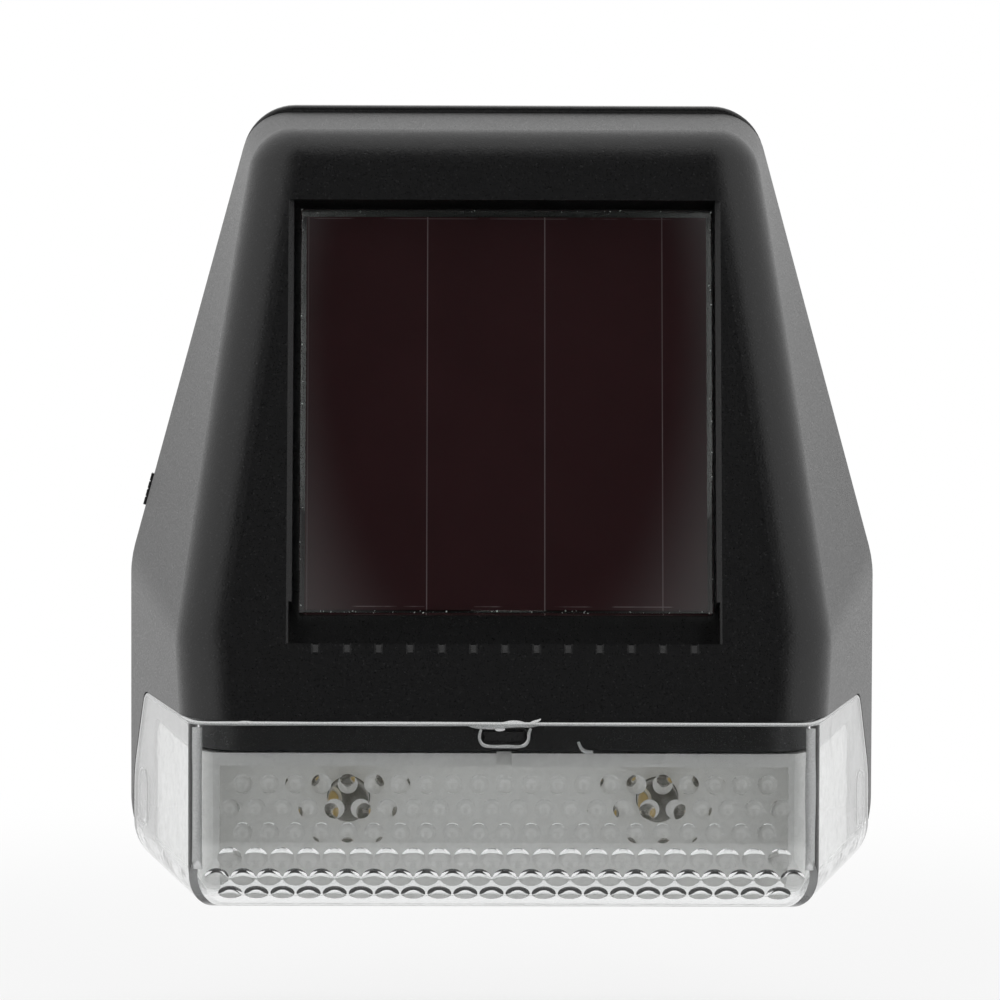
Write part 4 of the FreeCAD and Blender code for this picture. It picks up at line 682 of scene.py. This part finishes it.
class FENCE_OT_phosphor(bpy.types.Operator):
    """Fill each lamp's cup with a low dome of phosphor"""

    bl_idname = "fence_light.phosphor"
    bl_label = "Phosphor"

    radius: FloatProperty(name="Radius", description="Radius of the dome of phosphor", default=0.66 * MM,
                          unit="LENGTH")
    cup_offset: FloatProperty(name="Cup offset", description="The cup's place beside the lamp's axis",
                              default=-1.27 * MM, unit="LENGTH")
    cup_from_tip: FloatProperty(name="Cup depth", description="The cup's rim behind the lamp's tip",
                                default=3.55 * MM, unit="LENGTH")
    squash: FloatProperty(name="Squash", description="Share of its height that the dome keeps", default=0.45,
                          subtype="FACTOR")

    def execute(self, context):
        material = lamp_phosphor(context.scene.fence_colours, context.scene.fence_sizes)
        for node, name in (("led_left", "phosphor_left"), ("led_right", "phosphor_right")):
            low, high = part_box(node)
            deselect_all()
            bpy.ops.mesh.primitive_uv_sphere_add(segments=24, ring_count=16, radius=self.radius,
                                                 location=((low.x + high.x) / 2 + self.cup_offset,
                                                           low.y + self.cup_from_tip, (low.z + high.z) / 2),
                                                 rotation=(math.pi / 2, 0, 0))
            dome = bpy.context.object
            bpy.ops.object.mode_set(mode="EDIT")
            bpy.ops.mesh.select_all(action="SELECT")
            bpy.ops.mesh.bisect(plane_co=dome.location, plane_no=(0, 1, 0), use_fill=True, clear_outer=True)
            bpy.ops.mesh.select_all(action="SELECT")
            bpy.ops.transform.resize(value=(1, self.squash, 1))
            bpy.ops.object.mode_set(mode="OBJECT")
            bpy.ops.object.shade_smooth_by_angle(angle=math.radians(40))
            hand_over(dome, name, material, "housing")
        return {"FINISHED"}


class FENCE_OT_latch_flash(bpy.types.Operator):
    """Leave torn moulding flash round the lens's latch window and along its top edge"""

    bl_idname = "fence_light.latch_flash"
    bl_label = "Lens flash"

    # Millimetres across from the middle and up from the lens's top edge, and a share of the thickness.
    STRANDS = {
        "latch_flash_band": (0.34, (
            (-4.6, -0.06, 0.3), (-3.6, -0.40, 0.5), (-2.6, -0.30, 0.9), (-1.4, -0.42, 0.8),
            (-0.2, -0.16, 1.1), (0.9, 0.02, 1.35), (2.0, 0.00, 1.15), (2.9, -0.22, 0.7), (3.7, -0.16, 0.45),
            (4.5, -0.08, 0.25))),
        "latch_flash_drop": (0.30, ((-1.1, -0.62, 0.4), (-0.6, -0.72, 1.1), (0.1, -0.58, 0.5))),
        "latch_flash_prong": (0.20, (
            (2.9, -0.06, 0.9), (3.5, 0.24, 1.0), (4.1, 0.42, 0.8), (4.4, 0.64, 0.35))),
        "latch_flash_loop": (0.19, (
            (-2.75, -0.60, 0.8), (-3.0, -1.2, 1.1), (-2.95, -2.0, 0.9), (-2.5, -2.62, 1.2),
            (-1.2, -2.74, 0.9), (0.4, -2.68, 1.2), (1.8, -2.76, 0.8), (2.6, -2.5, 1.3), (2.98, -1.8, 0.9),
            (2.94, -1.0, 1.2), (3.2, -0.5, 0.8))),
        "lens_edge_bump": (0.24, (
            (-33.2, -0.12, 0.3), (-32.2, 0.02, 0.8), (-31.0, 0.10, 1.1), (-29.9, -0.02, 0.9),
            (-28.8, -0.12, 0.3))),
        "plastic_sliver": (0.22, (
            (8.9, -2.20, 0.8), (9.1, -2.75, 0.9), (9.45, -3.25, 1.1), (10.0, -3.45, 1.2),
            (10.7, -3.40, 0.9))),
    }
    BEHIND_WALL = ("plastic_sliver",)
    SET_BACK = 1.05               # of a strand's widest radius, so that it stays behind the lens's front

    def execute(self, context):
        colours, sizes = context.scene.fence_colours, context.scene.fence_sizes
        material = whitened_flash_and_edge_highlight(colours, sizes)
        for name, (thickness, places) in self.STRANDS.items():
            thickness *= MM * sizes.flash_scale
            widest = thickness * max(share for x, z, share in places)
            depth = LENS_FRONT + widest * self.SET_BACK
            if name in self.BEHIND_WALL:
                depth = LENS_FRONT + LENS_WALL + widest
            points = [(x * MM, depth, LENS_TOP + z * MM, share) for x, z, share in places]
            hand_over(bead(points, thickness), name, material, "lens")
        return {"FINISHED"}


def wing_point(back, up, inset):
    """A point inside a wing's outer face, in millimetres back from the lens's front and up from its foot."""
    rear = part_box("lens")[1]
    y = LENS_FRONT + back * MM
    return rear.x + SIDE_DRAFT * (y - rear.y) - inset, y, LENS_FOOT + up * MM


class FENCE_OT_edge_highlights(bpy.types.Operator):
    """Lay painted highlights as white beads along the lens's open edge, its two front corners and the
    outlines of its blind windows
    """

    bl_idname = "fence_light.lens_rim"
    bl_label = "Lens rim"

    # Millimetres back from the lens's front and up from its foot, along a wing's top and down its rear edge.
    WING_EDGE = ((2.3, 23.2), (9.0, 23.4), (17.0, 23.7), (23.7, 23.9), (25.8, 23.95), (26.9, 23.6),
                 (27.6, 22.4), (29.5, 19.2), (31.3, 16.2), (32.45, 13.9), (32.65, 11.0), (32.65, 8.0))
    # Millimetres out from the middle along the front's top, and up along a front corner.
    FRONT_EDGE = (0.0, 4.0, 9.0, 15.0, 22.0, 28.0, 33.0, 36.4)
    CORNER_EDGE = (5.5, 8.0, 11.0, 14.0, 17.0, 20.0, 22.6)
    # Back from the lens's front and up from its foot again, round a wing's blind window.
    WINDOW_EDGE = ((28.0, 14.5), (26.6, 14.3), (25.9, 13.0), (25.9, 11.0), (25.9, 9.0), (26.6, 7.7),
                   (28.0, 7.5), (29.5, 7.7), (30.2, 9.0), (30.2, 11.0), (30.2, 13.0), (29.5, 14.3),
                   (28.0, 14.5))
    INSET = 0.3 * MM
    CORNER_INSET = 0.85 * MM
    CORNER_RADIUS = 0.55 * MM
    WINDOW_RADIUS = 0.15 * MM
    SEED = 11
    UNEVENNESS = (0.85, 1.1)      # least and most share of a bead's thickness

    def execute(self, context):
        colours, sizes = context.scene.fence_colours, context.scene.fence_sizes
        # Painted highlight: these frosted white beads stand in for the bright lines that the lens's edges
        # catch.
        material = whitened_flash_and_edge_highlight(colours, sizes)
        draw = random.Random(self.SEED)

        def lay(name, line, thickness):
            points = [(*place, draw.uniform(*self.UNEVENNESS)) for place in line]
            hand_over(bead(points, thickness, roundness=2), name, material, "lens")

        half = [(x * MM, LENS_FRONT + self.INSET, LENS_TOP) for x in self.FRONT_EDGE]
        half += [wing_point(back, up, self.INSET) for back, up in self.WING_EDGE]
        lay("lens_rim", [(-x, y, z) for x, y, z in reversed(half[1:])] + half, sizes.rim)
        front_half = wing_point(0, 0, 0)[0]
        for side, name in ((-1, "left"), (1, "right")):
            corner = [(side * (front_half - self.CORNER_INSET), LENS_FRONT + self.CORNER_INSET,
                       LENS_FOOT + up * MM) for up in self.CORNER_EDGE]
            lay("lens_corner_" + name, corner, self.CORNER_RADIUS)
            window = [wing_point(back, up, self.WINDOW_RADIUS) for back, up in self.WINDOW_EDGE]
            lay("wing_window_" + name, [(side * x, y, z) for x, y, z in window], self.WINDOW_RADIUS)
        return {"FINISHED"}


class FENCE_OT_stage(bpy.types.Operator):
    """Set the floor, the room's light and the camera"""

    bl_idname = "fence_light.stage"
    bl_label = "Stage"

    camera_place: FloatVectorProperty(name="Camera", description="Place of the camera",
                                      subtype="TRANSLATION", default=(-8.4 * MM, -925.2 * MM, 52.8 * MM))
    camera_target: FloatVectorProperty(name="Target", description="Point that the camera looks at",
                                       subtype="TRANSLATION", default=(-0.5 * MM, -28.0 * MM, -17.8 * MM))
    focal_length: FloatProperty(name="Focal length", description="Millimetres, on a sensor 36 mm wide",
                                default=267.6)
    roll: angle_of("Roll", "How far the camera leans to its left", 0.2)

    # Metres. The floor turns white from the first of these distances to the second.
    FLOOR_SIZE = 6.0
    WHITE_FROM, WHITE_TO = 0.08, 0.22
    NEAR_WHITE = 0.8              # share of white nearer than that
    # The dark card on the floor ahead of the light.
    CARD_HALF_WIDTH = 0.13
    CARD_NEAR, CARD_FAR = 0.16, 0.70
    CARD_FADE = 0.05

    def execute(self, context):
        settings = context.scene.fence_studio
        self.light_room(context.scene, settings)
        self.lay_floor(settings)
        self.set_camera(context.scene)
        context.scene.view_settings.view_transform = "Standard"
        return {"FINISHED"}

    def light_room(self, scene, settings):
        """White walls all round, which the object stands in, and a soft dark card round the camera."""
        world = bpy.data.worlds.new("studio_room")
        world.use_nodes = True
        tree = world.node_tree
        way = add_node(tree, "TexCoord", {}, {}).outputs["Generated"]
        middle = Vector((0, -math.cos(settings.card_height), math.sin(settings.card_height)))
        stretched = add_node(tree, "VectorMath", {"operation": "MULTIPLY"}, {
            0: way, 1: settings.card_stretch})
        turned = add_node(tree, "VectorMath", {"operation": "NORMALIZE"}, {0: stretched.outputs["Vector"]})
        facing = add_node(tree, "VectorMath", {"operation": "DOT_PRODUCT"}, {
            0: turned.outputs["Vector"], 1: middle}).outputs["Value"]

        def with_card(inner, outer, level):
            """The room at one level, with the dark card inside one angle and faded out at another."""
            return add_node(tree, "MapRange", {"interpolation_type": "SMOOTHSTEP"}, {
                "Value": facing, "From Min": math.cos(outer), "From Max": math.cos(inner),
                "To Min": level, "To Max": settings.card}).outputs["Result"]

        level = with_card(settings.card_inner, settings.card_outer, settings.level)
        gloss = with_card(settings.gloss_inner, settings.gloss_outer, settings.level)
        through = with_card(settings.gloss_inner, settings.gloss_outer, settings.through)
        rays = add_node(tree, "LightPath", {}, {}).outputs
        for ray, other in (("Is Glossy Ray", gloss), ("Is Transmission Ray", through),
                           ("Is Camera Ray", 1.0)):
            level = add_node(tree, "Mix", {"data_type": "FLOAT"}, {
                0: rays[ray], 2: level, 3: other}).outputs[0]
        background = tree.nodes["Background"]
        background.inputs["Color"].default_value = (1.0, 1.0, 1.0, 1.0)
        tree.links.new(level, background.inputs["Strength"])
        scene.world = world

    def lay_floor(self, settings):
        deselect_all()
        bpy.ops.mesh.primitive_plane_add(size=self.FLOOR_SIZE,
                                         location=(0, 0, LENS_FOOT - settings.floor_drop))
        floor = bpy.context.object
        floor.name = "studio_floor"
        floor.data.materials.append(self.floor_finish(settings))

    def floor_finish(self, settings):
        """Pale matt floor. The eye, gloss and clear plastic see it turn to white away from the shadow."""
        material, tree, shader = new_finish("matt_studio_floor", settings.floor, {"Roughness": 0.9})
        distance = add_node(tree, "VectorMath", {"operation": "LENGTH"}, {0: place_in_object(tree)})
        far = add_node(tree, "MapRange", {"interpolation_type": "SMOOTHSTEP"}, {
            "Value": distance.outputs["Value"], "From Min": self.WHITE_FROM, "From Max": self.WHITE_TO,
            "To Min": self.NEAR_WHITE, "To Max": 1.0})
        rays = add_node(tree, "LightPath", {}, {}).outputs
        seen = rays["Is Camera Ray"]
        for ray in ("Is Transmission Ray", "Is Glossy Ray"):
            seen = add_node(tree, "Math", {"operation": "MAXIMUM"}, {0: seen, 1: rays[ray]}).outputs[0]
        share = add_node(tree, "Math", {"operation": "MULTIPLY"}, {0: seen, 1: far.outputs["Result"]})
        white = add_node(tree, "Emission", {}, {"Color": (1.0, 1.0, 1.0, 1.0), "Strength": 1.0})
        mixed = add_node(tree, "MixShader", {}, {0: share.outputs[0], 1: shader.outputs["BSDF"],
                                                 2: white.outputs["Emission"]})
        mixed = self.lay_card(tree, settings, rays, mixed)
        tree.links.new(mixed.outputs["Shader"], tree.nodes["Material Output"].inputs["Surface"])
        return material

    def lay_card(self, tree, settings, rays, shader):
        """A dark card on the floor ahead of the light, which only reflections and clear plastic see."""
        half_depth = (self.CARD_FAR - self.CARD_NEAR) / 2
        ahead = -(self.CARD_NEAR + self.CARD_FAR) / 2
        axes = add_node(tree, "SeparateXYZ", {}, {"Vector": place_in_object(tree)})
        seen = add_node(tree, "Math", {"operation": "MAXIMUM"}, {0: rays["Is Glossy Ray"],
                                                                1: rays["Is Transmission Ray"]})
        for axis, middle, reach in (("X", 0.0, self.CARD_HALF_WIDTH), ("Y", ahead, half_depth)):
            strip = straight_strip(tree, axes.outputs[axis], middle, reach, self.CARD_FADE)
            seen = add_node(tree, "Math", {"operation": "MULTIPLY"}, {0: seen.outputs[0], 1: strip})
        dark = add_node(tree, "Emission", {}, {"Color": (1.0, 1.0, 1.0, 1.0), "Strength": settings.card})
        return add_node(tree, "MixShader", {}, {0: seen.outputs[0], 1: shader.outputs["Shader"],
                                                2: dark.outputs["Emission"]})

    def set_camera(self, scene):
        place, target = Vector(self.camera_place), Vector(self.camera_target)
        deselect_all()
        aim = (target - place).to_track_quat("-Z", "Y") @ Quaternion((0, 0, 1), self.roll)
        bpy.ops.object.camera_add(location=place, rotation=aim.to_euler())
        camera = bpy.context.object
        camera.name = "studio_camera"
        camera.data.sensor_width = 36.0
        camera.data.lens = self.focal_length
        camera.data.clip_end = 20.0
        scene.camera = camera


class FENCE_PT_light(bpy.types.Panel):
    """Lists the steps that dress the fence light"""

    bl_label = "Fence light"
    bl_idname = "FENCE_PT_light"
    bl_space_type = "VIEW_3D"
    bl_region_type = "UI"
    bl_category = "Fence light"

    def draw(self, context):
        for settings in (context.scene.fence_colours, context.scene.fence_sizes, context.scene.fence_studio):
            box = self.layout.box()
            for name in settings.__annotations__:
                box.prop(settings, name)
        for step in STEPS:
            self.layout.operator(step.bl_idname)


STEPS = (FENCE_OT_finish_frame, FENCE_OT_glass_pane, FENCE_OT_glass_chips, FENCE_OT_lamps, FENCE_OT_phosphor,
         FENCE_OT_latch_flash, FENCE_OT_edge_highlights, FENCE_OT_stage)
SETTINGS = {"fence_colours": LightColours, "fence_sizes": LightSizes, "fence_studio": StudioSettings}


def register():
    for cls in (*SETTINGS.values(), *STEPS, FENCE_PT_light):
        bpy.utils.register_class(cls)
    for name, group in SETTINGS.items():
        setattr(bpy.types.Scene, name, PointerProperty(type=group))


def unregister():
    for name in SETTINGS:
        delattr(bpy.types.Scene, name)
    for cls in reversed((*SETTINGS.values(), *STEPS, FENCE_PT_light)):
        bpy.utils.unregister_class(cls)


def main():
    register()
    for step in STEPS:
        group, name = step.bl_idname.split(".")
        getattr(getattr(bpy.ops, group), name)()
    bpy.context.view_layer.update()


if __name__ == "__main__":
    main()
